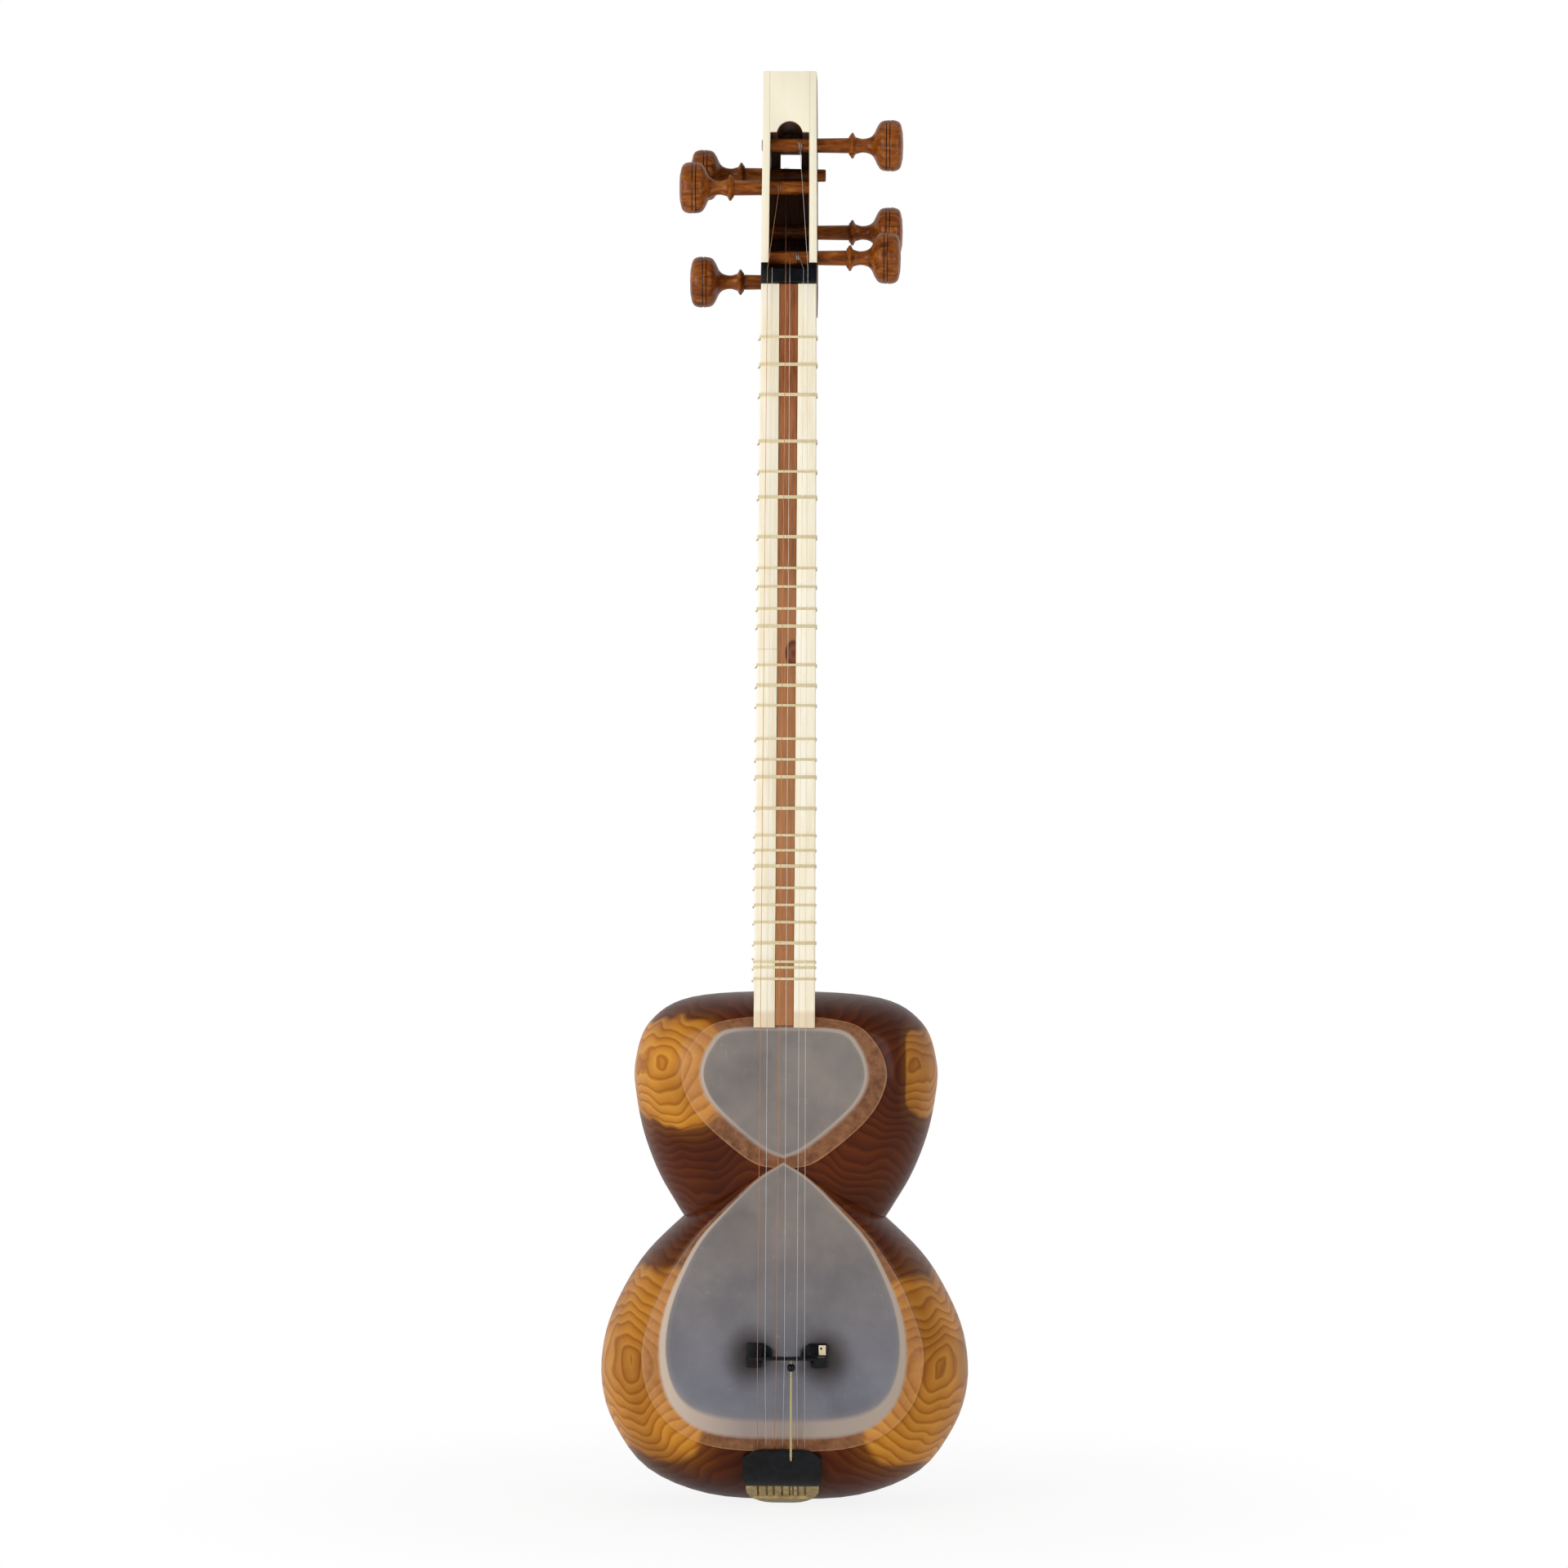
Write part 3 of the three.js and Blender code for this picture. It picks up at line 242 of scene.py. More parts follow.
def lofted(name, rings, middles=(None, None), smooth=True):
    """A drawn circle, extruded from ring to ring. Its ends are filled, or drawn in to a middle point."""
    count = len(rings[0])
    bpy.ops.object.select_all(action="DESELECT")
    bpy.ops.mesh.primitive_circle_add(vertices=count, radius=MM)
    piece = bpy.context.object
    piece.name = piece.data.name = name
    bpy.ops.object.mode_set(mode="EDIT")
    bpy.ops.mesh.select_mode(type="VERT")
    bpy.ops.mesh.select_all(action="SELECT")
    for _ in rings[1:]:
        bpy.ops.mesh.extrude_region_move()
    bpy.ops.object.mode_set(mode="OBJECT")
    for vertex, point in zip(piece.data.vertices, [p for ring in rings for p in ring]):
        vertex.co = point
    bpy.ops.object.mode_set(mode="EDIT")
    last = count * (len(rings) - 1)
    for start, middle in zip((0, last), middles):
        select_vertices(piece, range(start, start + count))
        bpy.ops.mesh.edge_face_add()
        if middle is not None:
            bpy.ops.mesh.poke()
            bpy.ops.object.mode_set(mode="OBJECT")
            piece.data.vertices[-1].co = middle
            bpy.ops.object.mode_set(mode="EDIT")
    bpy.ops.object.mode_set(mode="OBJECT")
    face_outwards(piece)
    if smooth:
        bpy.ops.object.shade_smooth_by_angle(angle=CREASE)
    return piece


def tube(name, paths, radius, resolution=3, closed=False):
    """A round cord along each path, with its radius in millimetres, made a mesh."""
    line = bpy.data.curves.new(name, "CURVE")
    line.dimensions = "3D"
    line.bevel_depth = radius * MM
    line.bevel_resolution = resolution
    line.use_fill_caps = True
    for path in paths:
        spline = line.splines.new("POLY")
        spline.points.add(len(path) - 1)
        for point, place in zip(spline.points, path):
            point.co = (*place, 1)
        spline.use_cyclic_u = closed
    piece = bpy.data.objects.new(name, line)
    bpy.context.scene.collection.objects.link(piece)
    select_only(piece)
    bpy.ops.object.convert(target="MESH")
    piece = bpy.context.object
    bpy.ops.object.shade_smooth_by_angle(angle=CORD_CREASE)
    return piece


def finish_modifiers(piece):
    select_only(piece)
    for modifier in list(piece.modifiers):
        bpy.ops.object.modifier_apply(modifier=modifier.name)


def combine(piece, tool, operation):
    change = piece.modifiers.new(operation.title(), "BOOLEAN")
    change.operation = operation
    change.object = tool
    change.solver = "EXACT"
    finish_modifiers(piece)
    bpy.data.objects.remove(tool)


def ease_edges(piece, width, segments, sharp=math.radians(30)):
    """Rounds the edges that turn by more than an angle, by a width in metres, as sanding does."""
    ease = piece.modifiers.new("Ease", "BEVEL")
    ease.width = width
    ease.segments = segments
    ease.limit_method = "ANGLE"
    ease.angle_limit = sharp
    finish_modifiers(piece)


def eased_copy(node, name, width, segments=2):
    """A merged copy of a CAD node with its edges rounded."""
    source = NODES[node]
    piece = source.copy()
    piece.data = source.data.copy()
    piece.parent = None
    piece.matrix_world = Matrix.Identity(4)
    piece.name = piece.data.name = name
    for key in list(piece.keys()):
        if key.startswith("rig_"):
            del piece[key]
    bpy.context.scene.collection.objects.link(piece)
    edit(piece)
    bpy.ops.mesh.select_all(action="SELECT")
    bpy.ops.mesh.remove_doubles(threshold=MERGE)
    bpy.ops.mesh.dissolve_limited(angle_limit=FLAT)
    bpy.ops.object.mode_set(mode="OBJECT")
    ease_edges(piece, width, segments)
    bpy.ops.object.shade_smooth_by_angle(angle=FINE_CREASE)
    return piece


def fit(piece, material, body, slot, *nodes):
    """Gives a finished piece its material and its body, and hides the nodes that it stands for."""
    piece.data.materials.clear()
    piece.data.materials.append(material)
    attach(piece, body)
    if nodes:
        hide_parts(*nodes)


# Materials


def linear(colour):
    """An sRGB hex colour as linear RGBA. A user's colour is linear already."""
    if not isinstance(colour, str):
        return [*colour, 1]
    parts = [int(colour[i:i + 2], 16) / 255 for i in (1, 3, 5)]
    return [c / 12.92 if c <= 0.04045 else ((c + 0.055) / 1.055) ** 2.4 for c in parts] + [1]


def add_node(tree, kind, settings=None, links=None):
    """Adds a node, sets its properties and sockets, and links its inputs."""
    node = tree.nodes.new(kind)
    for key, value in (settings or {}).items():
        if isinstance(key, str) and hasattr(node, key):
            setattr(node, key, value)
        else:
            node.inputs[key].default_value = value
    for key, source in (links or {}).items():
        tree.links.new(source, node.inputs[key])
    return node


def set_stops(node, stops):
    """Gives a colour ramp its stops: (place, colour)."""
    ramp = node.color_ramp
    while len(ramp.elements) < len(stops):
        ramp.elements.new(0.5)
    for element, (place, colour) in zip(ramp.elements, stops):
        element.position = place
        element.color = linear(colour)


def new_finish(name, roughness, **settings):
    """An empty material with its surface shader and object coordinates."""
    material = bpy.data.materials.new(name)
    material.use_nodes = True
    tree = material.node_tree
    shader = tree.nodes["Principled BSDF"]
    shader.inputs["Roughness"].default_value = roughness
    for key, value in settings.items():
        shader.inputs[key.replace("_", " ")].default_value = value
    place = add_node(tree, "ShaderNodeTexCoord").outputs["Object"]
    return material, tree, shader, place


# Fibres and pores too fine for the picture are drawn as coarse as they need to show.
def grain(size):
    """The scale that gives a noise texture grains of a size in millimetres."""
    return 1 / (size * MM)


def bands(spacing):
    """The scale that gives a wave texture bands at a spacing in millimetres."""
    return math.pi / 10 / (spacing * MM)


def dress(tree, shader, colour, relief, depth, strength=1.0):
    """Gives a shader its colour, and a relief with a depth in millimetres."""
    raised = add_node(tree, "ShaderNodeBump", {"Distance": depth * MM, "Strength": strength},
                      {"Height": relief})
    tree.links.new(colour, shader.inputs["Base Color"])
    tree.links.new(raised.outputs[0], shader.inputs["Normal"])


# Figure of the bowls. Knots that the growth rings run round: x, z, half height, spacing across and up
KNOTS = [(-80, 293, 1.5, 9.5, 6.2), (86, 290, 1.5, 8.5, 6.2), (-98, 96, 6, 8, 6.8), (101, 93, 4, 8, 6.8)]
# Patches where light heartwood shows: x, z, half width, half height
HEARTWOOD = [(-69, 287, 31, 33), (94, 287, 16, 27), (-87, 96, 38, 61), (90, 92, 38, 62)]
# Painted shadows that the bridge's feet cast on the film: x, z
BRIDGE_SHADOWS = [(-21, 103), (27, 102)]
BRIDGE_SHADOW_SIZE = (18, 21)
# The knot in the neck: x, z, half width, half height
NECK_KNOT = (4.6, 559.5, 5.4, 8.6)
# How the wood's figure wanders: the size of the waves, and their reach across and up in metres
WAVES = 22.7
WAVE_REACH = (0.008, 0, 0.017)
# How far uneven growth and the fibres shift the rings, in rings
RING_DRIFT = 3.2
FIBRE_DRIFT = 0.16
# The heartwood shows down to the first of these depths, and fades out by the second
HEARTWOOD_DEPTHS = (62, 105)
# Heights between which the film over the large bowl turns from warm grey to blue grey
FILM_TURN = (190, 90)
# From the middle to where the rim's film is fully lit on one side and fully shaded on the other
RIM_SHADE = 80
# Heights in metres between which the neck gets paler, downwards
NECK_PALING = (0.8, 0.5)
# Half the width of the piece of bone between the head's two long joints, and half a joint
JOINT_PLACE = 13.1
JOINT_HALF = 0.18
# Height of the cross joint in the bone strips, its step to either side, and half its width
BUTT_HEIGHT = 556.5
BUTT_STEP = 4.5
BUTT_HALF = 0.2
# How far the skin laps over the strips, fully and at its fading edge
SKIN_LAP = (9, 12)
# Half the width of a burnt ring on a peg
RING_HALF = 0.33


def scaled_place(tree, source, x, z, half, height):
    """Places counted from a centre on the front, in half widths and half heights."""
    centre = at(x, 0, z)
    across, up = 1 / (half * MM), 1 / (height * MM)
    return add_node(tree, "ShaderNodeMapping", {
        "Location": (-centre.x * across, 0, -centre.z * up), "Scale": (across, 0, up),
    }, {"Vector": source}).outputs[0]


def wandering(tree, place):
    """Places pushed about by soft noise that changes across the grain more than along it."""
    flat = add_node(tree, "ShaderNodeMapping", {"Scale": (1, 1, 0.3)}, {"Vector": place})
    noise = add_node(tree, "ShaderNodeTexNoise", {"Scale": grain(WAVES), "Detail": 1, "Roughness": 0.4},
                     {"Vector": flat.outputs[0]})
    even = add_node(tree, "ShaderNodeVectorMath", {"operation": "SUBTRACT", 1: (0.5, 0.5, 0.5)},
                    {0: noise.outputs["Color"]})
    return add_node(tree, "ShaderNodeVectorMath", {"operation": "MULTIPLY_ADD", 1: WAVE_REACH},
                    {0: even.outputs[0], 2: place}).outputs[0]


def extreme_of(tree, values, operation):
    """The MINIMUM or MAXIMUM of several values."""
    result = values[0]
    for value in values[1:]:
        result = add_node(tree, "ShaderNodeMath", {"operation": operation},
                          {0: result, 1: value}).outputs[0]
    return result


def heartwood(tree, place):
    """Shares of light heartwood and of the warmer brown round it, in wavy patches on the front."""
    pushed = wandering(tree, place)
    near = []
    for patch in HEARTWOOD:
        spot = scaled_place(tree, pushed, *patch)
        squared = add_node(tree, "ShaderNodeVectorMath", {"operation": "MULTIPLY"}, {0: spot, 1: spot})
        near.append(add_node(tree, "ShaderNodeVectorMath", {"operation": "LENGTH"},
                             {0: squared.outputs[0]}).outputs["Value"])
    parts = add_node(tree, "ShaderNodeSeparateXYZ", None, {"Vector": place})
    whole, faded = (at(0, depth, 0).y for depth in HEARTWOOD_DEPTHS)
    front = add_node(tree, "ShaderNodeMapRange", {
        "interpolation_type": "SMOOTHSTEP", "From Min": faded, "From Max": whole,
    }, {"Value": parts.outputs["Y"]})
    shares = []
    for start, end in ((1.15, 0.88), (2.0, 0.9)):
        share = add_node(tree, "ShaderNodeMapRange", {
            "interpolation_type": "SMOOTHSTEP", "From Min": start, "From Max": end,
        }, {"Value": extreme_of(tree, near, "MINIMUM")})
        shares.append(add_node(tree, "ShaderNodeMath", {"operation": "MULTIPLY"},
                               {0: share.outputs[0], 1: front.outputs[0]}).outputs[0])
    return shares


def growth_rings(tree, place):
    """Growth rings round the knots, rising from 0 to 1 across each ring, outwards."""
    pushed = wandering(tree, place)
    counts = []
    for x, z, tall, across, up in KNOTS:
        near = scaled_place(tree, pushed, x, z, across, up)
        parts = add_node(tree, "ShaderNodeSeparateXYZ", None, {"Vector": near})
        size = add_node(tree, "ShaderNodeMath", {"operation": "ABSOLUTE"}, {0: parts.outputs["Z"]})
        past = add_node(tree, "ShaderNodeMath", {"operation": "SUBTRACT", 1: tall / up},
                        {0: size.outputs[0]})
        up_only = add_node(tree, "ShaderNodeMath", {"operation": "MAXIMUM", 1: 0.0}, {0: past.outputs[0]})
        flat = add_node(tree, "ShaderNodeCombineXYZ", None,
                        {"X": parts.outputs["X"], "Z": up_only.outputs[0]})
        counts.append(add_node(tree, "ShaderNodeVectorMath", {"operation": "LENGTH"},
                               {0: flat.outputs[0]}).outputs["Value"])
    uneven = add_node(tree, "ShaderNodeTexNoise", {"Scale": grain(38.5), "Detail": 1}, {"Vector": place})
    count = add_node(tree, "ShaderNodeMath", {"operation": "MULTIPLY_ADD", 1: RING_DRIFT},
                     {0: uneven.outputs[0], 2: extreme_of(tree, counts, "MINIMUM")})
    return add_node(tree, "ShaderNodeMath", {"operation": "FRACT"}, {0: count.outputs[0]}).outputs[0]


def wood_colour(tree, place, settings):
    """Deep brown wood with soft ring figure, and patches of amber heartwood with clearer rings."""
    fibre = add_node(tree, "ShaderNodeTexNoise", {"Scale": grain(2.38), "Detail": 3}, {"Vector": place})
    phase = add_node(tree, "ShaderNodeMath", {"operation": "MULTIPLY_ADD", 1: FIBRE_DRIFT},
                     {0: fibre.outputs[0], 2: growth_rings(tree, place)})
    dark = add_node(tree, "ShaderNodeValToRGB", None, {"Fac": phase.outputs[0]})
    set_stops(dark, [(0.08, settings.varnish_light), (0.45, settings.varnish), (0.9, settings.varnish_dark),
                     (1, settings.varnish)])
    amber = add_node(tree, "ShaderNodeValToRGB", None, {"Fac": phase.outputs[0]})
    set_stops(amber, [(0.08, "#cf9239"), (0.7, settings.amber), (0.93, settings.amber_ring),
                      (1, "#b8761f")])
    light, warm = heartwood(tree, place)
    warmth = add_node(tree, "ShaderNodeMath", {"operation": "MULTIPLY", 1: 0.16}, {0: warm})
    warmed = add_node(tree, "ShaderNodeMix", {"data_type": "RGBA"},
                      {0: warmth.outputs[0], 6: dark.outputs[0], 7: amber.outputs[0]})
    wood = add_node(tree, "ShaderNodeMix", {"data_type": "RGBA"}, {
        0: light, 6: warmed.outputs[2], 7: amber.outputs[0],
    })
    tone = add_node(tree, "ShaderNodeTexNoise", {"Scale": grain(71.4), "Detail": 2}, {"Vector": place})
    burst = add_node(tree, "ShaderNodeValToRGB", None, {"Fac": tone.outputs[0]})
    set_stops(burst, [(0.38, "#cdc4be"), (0.6, "#ffffff")])
    return add_node(tree, "ShaderNodeMix", {"data_type": "RGBA", "blend_type": "MULTIPLY", 0: 1.0},
                    {6: wood.outputs[2], 7: burst.outputs[0]}).outputs[2]


def mulberry(settings):
    # Carved mulberry under many coats of shellac: brown and amber wood seen through a clear gloss.
    material, tree, shader, place = new_finish("french polished mulberry", 0.4, Coat_Weight=0.16,
                                               Coat_Roughness=0.16, Specular_IOR_Level=0.05)
    swell = add_node(tree, "ShaderNodeTexNoise", {"Scale": grain(62.5)}, {"Vector": place})
    dress(tree, shader, wood_colour(tree, place, settings), swell.outputs[0], 0.3, 0.4)
    return material


def skin_finish(settings):
    # Stretched lambskin film: cloudy grey where it spans the bowl, pinkish over the wooden rim,
    # and a thin milky veil over the wood's figure where it is glued down the side.
    material, tree, shader, place = new_finish("stretched skin film", 0.5, Specular_IOR_Level=0.25)
    across = add_node(tree, "ShaderNodeAttribute", {"attribute_name": "across"}).outputs["Fac"]
    parts = add_node(tree, "ShaderNodeSeparateXYZ", None, {"Vector": place})
    cloud = add_node(tree, "ShaderNodeTexNoise", {"Scale": grain(41.7), "Detail": 5, "Roughness": 0.6},
                     {"Vector": place})
    mottle = add_node(tree, "ShaderNodeTexNoise", {"Scale": grain(5.26), "Detail": 4, "Roughness": 0.65},
                      {"Vector": place})
    upper = add_node(tree, "ShaderNodeValToRGB", None, {"Fac": cloud.outputs[0]})
    set_stops(upper, [(0.3, settings.film_dark), (0.7, settings.film)])
    lower = add_node(tree, "ShaderNodeValToRGB", None, {"Fac": cloud.outputs[0]})
    set_stops(lower, [(0.3, "#67676f"), (0.7, "#7a7a82")])
    warm, blue = (at(0, 0, height).z for height in FILM_TURN)
    down = add_node(tree, "ShaderNodeMapRange", {"From Min": warm, "From Max": blue},
                    {"Value": parts.outputs["Z"]})
    film = add_node(tree, "ShaderNodeMix", {"data_type": "RGBA"}, {
        0: down.outputs[0], 6: upper.outputs[0], 7: lower.outputs[0],
    })
    fleck = add_node(tree, "ShaderNodeMapRange", {"From Min": 0.66, "From Max": 0.8, "To Max": 0.5},
                     {"Value": mottle.outputs[0]})
    flecked = add_node(tree, "ShaderNodeMix", {"data_type": "RGBA", 7: linear("#aaa39c")},
                       {0: fleck.outputs[0], 6: film.outputs[2]})
    # Painted shadow: the film is darkened round the bridge's two feet.
    shadow_spots = []
    for x, z in BRIDGE_SHADOWS:
        near = scaled_place(tree, place, x, z, *BRIDGE_SHADOW_SIZE)
        reach = add_node(tree, "ShaderNodeVectorMath", {"operation": "LENGTH"}, {0: near})
        shadow_spots.append(add_node(tree, "ShaderNodeMapRange", {
            "interpolation_type": "SMOOTHSTEP", "From Min": 1.25, "From Max": 0.25, "To Max": 0.85,
        }, {"Value": reach.outputs["Value"]}).outputs[0])
    shadowed = add_node(tree, "ShaderNodeMix", {"data_type": "RGBA", 7: linear("#2b1e18")},
                    {0: extreme_of(tree, shadow_spots, "MAXIMUM"), 6: flecked.outputs[2]})
    side = add_node(tree, "ShaderNodeMapRange", {"From Min": -RIM_SHADE * MM, "From Max": RIM_SHADE * MM},
                    {"Value": parts.outputs["X"]})
    rim = add_node(tree, "ShaderNodeValToRGB", None, {"Fac": side.outputs[0]})
    set_stops(rim, [(0.05, "#cbb8a6"), (0.35, settings.rim_film), (0.9, "#ab9c8e")])
    veil = add_node(tree, "ShaderNodeMapRange", {
        "From Min": 0.35, "From Max": 0.75, "To Min": 0.12, "To Max": 0.38,
    }, {"Value": mottle.outputs[0]})
    hem = add_node(tree, "ShaderNodeMapRange", {"From Min": 2.88, "From Max": 3.0, "To Max": 0.25},
                   {"Value": across})
    milky = add_node(tree, "ShaderNodeMath", {"operation": "ADD"}, {0: veil.outputs[0], 1: hem.outputs[0]})
    veiled = add_node(tree, "ShaderNodeMix", {"data_type": "RGBA", 7: linear("#d19a6c")},
                      {0: milky.outputs[0], 6: wood_colour(tree, place, settings)})
    edge = add_node(tree, "ShaderNodeMapRange", {"From Min": 0.96, "From Max": 1.25}, {"Value": across})
    turn = add_node(tree, "ShaderNodeMapRange", {"From Min": 1.9, "From Max": 2.15}, {"Value": across})
    over_rim = add_node(tree, "ShaderNodeMix", {"data_type": "RGBA"},
                        {0: edge.outputs[0], 6: shadowed.outputs[2], 7: rim.outputs[0]})
    colour = add_node(tree, "ShaderNodeMix", {"data_type": "RGBA"},
                      {0: turn.outputs[0], 6: over_rim.outputs[2], 7: veiled.outputs[2]})
    dress(tree, shader, colour.outputs[2], mottle.outputs[0], 0.04)
    return material


def walnut(name, light, dark, sunned):
    # Straight-grained walnut, oiled: fine dark lines that run along the neck, paler toward the body,
    # with one small knot in the centre strip.
    material, tree, shader, place = new_finish(name, 0.45, Specular_IOR_Level=0.25)
    stretched = add_node(tree, "ShaderNodeMapping", {"Scale": (1, 1, 0.05)}, {"Vector": place})
    lines = add_node(tree, "ShaderNodeTexNoise", {"Scale": grain(1.39), "Detail": 5, "Roughness": 0.65},
                     {"Vector": stretched.outputs[0]})
    colour = add_node(tree, "ShaderNodeValToRGB", None, {"Fac": lines.outputs[0]})
    set_stops(colour, [(0.3, dark), (0.65, light)])
    parts = add_node(tree, "ShaderNodeSeparateXYZ", None, {"Vector": place})
    top, foot = NECK_PALING
    low = add_node(tree, "ShaderNodeMapRange", {"From Min": top, "From Max": foot, "To Max": 0.4},
                   {"Value": parts.outputs["Z"]})
    drift = add_node(tree, "ShaderNodeTexNoise", {"Scale": grain(55.6), "Detail": 2}, {"Vector": place})
    wash = add_node(tree, "ShaderNodeMath", {"operation": "MULTIPLY_ADD", 1: 0.5, 2: -0.25},
                    {0: drift.outputs[0]})
    pale = add_node(tree, "ShaderNodeMath", {"operation": "ADD"}, {0: low.outputs[0], 1: wash.outputs[0]})
    paler = add_node(tree, "ShaderNodeMix", {"data_type": "RGBA", 7: linear(sunned)},
                     {0: pale.outputs[0], 6: colour.outputs[0]})
    knot = scaled_place(tree, place, *NECK_KNOT)
    reach = add_node(tree, "ShaderNodeVectorMath", {"operation": "LENGTH"}, {0: knot}).outputs["Value"]
    ring = add_node(tree, "ShaderNodeMath", {"operation": "PINGPONG", 1: 0.42}, {0: reach})
    burl = add_node(tree, "ShaderNodeValToRGB", None, {"Fac": ring.outputs[0]})
    set_stops(burl, [(0, "#4a2318"), (0.42, "#85472e")])
    inside = add_node(tree, "ShaderNodeMapRange", {"From Min": 1.12, "From Max": 0.92, "To Max": 0.9},
                      {"Value": reach})
    knotted = add_node(tree, "ShaderNodeMix", {"data_type": "RGBA"},
                       {0: inside.outputs[0], 6: paler.outputs[2], 7: burl.outputs[0]})
    dress(tree, shader, knotted.outputs[2], lines.outputs[0], 0.05)
    return material


def bone_finish(settings):
    # Polished camel bone: ivory with faint lengthwise streaks, painted shade on the head where lamps light
    # it more, hairline glued joints beside the slot, and a tan tint where the skin laps over its low end.
    material, tree, shader, place = new_finish("polished bone", 0.36, Specular_IOR_Level=0.3)
    stretched = add_node(tree, "ShaderNodeMapping", {"Scale": (1, 1, 0.06)}, {"Vector": place})
    streaks = add_node(tree, "ShaderNodeTexNoise", {"Scale": grain(3.33), "Detail": 3, "Roughness": 0.5},
                       {"Vector": stretched.outputs[0]})
    ivory = add_node(tree, "ShaderNodeValToRGB", None, {"Fac": streaks.outputs[0]})
    set_stops(ivory, [(0.25, "#f3e6c4"), (0.55, settings.bone), (0.8, "#fdf7e6")])
    parts = add_node(tree, "ShaderNodeSeparateXYZ", None, {"Vector": place})
    beside = add_node(tree, "ShaderNodeMath", {"operation": "ABSOLUTE"}, {0: parts.outputs["X"]})
    joint = add_node(tree, "ShaderNodeMath", {
        "operation": "COMPARE", 1: JOINT_PLACE * MM, 2: JOINT_HALF * MM,
    }, {0: beside.outputs[0]})
    head = add_node(tree, "ShaderNodeMath", {"operation": "GREATER_THAN", 1: head_at(0, 0, NUT_LENGTH).z},
                    {0: parts.outputs["Z"]})
    line = add_node(tree, "ShaderNodeMath", {"operation": "MULTIPLY"},
                    {0: joint.outputs[0], 1: head.outputs[0]})
    side = add_node(tree, "ShaderNodeMath", {"operation": "SIGN"}, {0: parts.outputs["X"]})
    stepped = add_node(tree, "ShaderNodeMath", {"operation": "MULTIPLY_ADD", 1: BUTT_STEP * MM},
                       {0: side.outputs[0], 2: parts.outputs["Z"]})
    butt = add_node(tree, "ShaderNodeMath", {
        "operation": "COMPARE", 1: BUTT_HEIGHT * MM, 2: BUTT_HALF * MM,
    }, {0: stepped.outputs[0]})
    seams = extreme_of(tree, [line.outputs[0], butt.outputs[0]], "MAXIMUM")
    whole, faded = SKIN_LAP
    lap = add_node(tree, "ShaderNodeMapRange", {
        "From Min": at(0, 0, NECK_END + faded).z, "From Max": at(0, 0, NECK_END + whole).z, "To Max": 0.35,
    }, {"Value": parts.outputs["Z"]})
    marked = add_node(tree, "ShaderNodeMath", {"operation": "MULTIPLY_ADD", 1: 0.55},
                      {0: seams, 2: lap.outputs[0]})
    # Painted shade: the head's bone is darkened, where the lamps light it more than the neck.
    head_shade = add_node(tree, "ShaderNodeMath", {"operation": "MULTIPLY", 1: 0.8}, {0: head.outputs[0]})
    shaded_ivory = add_node(tree, "ShaderNodeMix", {"data_type": "RGBA", 7: linear("#f1e9d0")},
                         {0: head_shade.outputs[0], 6: ivory.outputs[0]})
    colour = add_node(tree, "ShaderNodeMix", {"data_type": "RGBA", 7: linear("#c79a5c")},
                      {0: marked.outputs[0], 6: shaded_ivory.outputs[2]})
    dress(tree, shader, colour.outputs[2], streaks.outputs[0], 0.02)
    return material


def horn_finish(name, base, light, roughness):
    # Scraped and buffed horn: nearly even, with cloudy paler layers.
    material, tree, shader, place = new_finish(name, roughness, Specular_IOR_Level=0.2)
    cloud = add_node(tree, "ShaderNodeTexNoise", {"Scale": grain(7.7), "Detail": 5, "Distortion": 1.2},
                     {"Vector": place})
    colour = add_node(tree, "ShaderNodeValToRGB", None, {"Fac": cloud.outputs[0]})
    set_stops(colour, [(0.4, base), (0.72, light)])
    dress(tree, shader, colour.outputs[0], cloud.outputs[0], 0.03)
    return material


def peg_finish(settings):
    # Turned walnut pegs, polished on the lathe: amber brown with wavy grain and two burnt rings.
    material, tree, shader, place = new_finish("turned and polished walnut", 0.35, Coat_Weight=0.1,
                                               Specular_IOR_Level=0.12)
    stretched = add_node(tree, "ShaderNodeMapping", {"Scale": (0.22, 1, 1)}, {"Vector": place})
    lines = add_node(tree, "ShaderNodeTexNoise", {
        "Scale": grain(3.846), "Detail": 5, "Roughness": 0.6, "Distortion": 0.8,
    }, {"Vector": stretched.outputs[0]})
    colour = add_node(tree, "ShaderNodeValToRGB", None, {"Fac": lines.outputs[0]})
    set_stops(colour, [(0.3, "#4d230a"), (0.52, settings.pegs), (0.75, "#b06d2a")])
    along = add_node(tree, "ShaderNodeAttribute", {"attribute_name": "along"}).outputs["Fac"]
    rings = []
    for middle in GROOVES:
        rings.append(add_node(tree, "ShaderNodeMath", {"operation": "COMPARE", 1: middle, 2: RING_HALF},
                              {0: along}).outputs[0])
    burnt = add_node(tree, "ShaderNodeMix", {"data_type": "RGBA", 7: linear("#231007")},
                     {0: extreme_of(tree, rings, "MAXIMUM"), 6: colour.outputs[0]})
    dress(tree, shader, burnt.outputs[2], lines.outputs[0], 0.04)
    return material


def gut_finish(settings):
    # Dry twisted gut: dull cream, with fine slanting darker lines.
    material, tree, shader, place = new_finish("twisted gut", 0.5)
    twist = add_node(tree, "ShaderNodeTexWave", {
        "bands_direction": "DIAGONAL", "Scale": bands(0.349), "Distortion": 2,
    }, {"Vector": place})
    colour = add_node(tree, "ShaderNodeValToRGB", None, {"Fac": twist.outputs["Fac"]})
    set_stops(colour, [(0.2, "#e0cfa0"), (0.8, settings.gut)])
    dress(tree, shader, colour.outputs[0], twist.outputs["Fac"], 0.05)
    return material


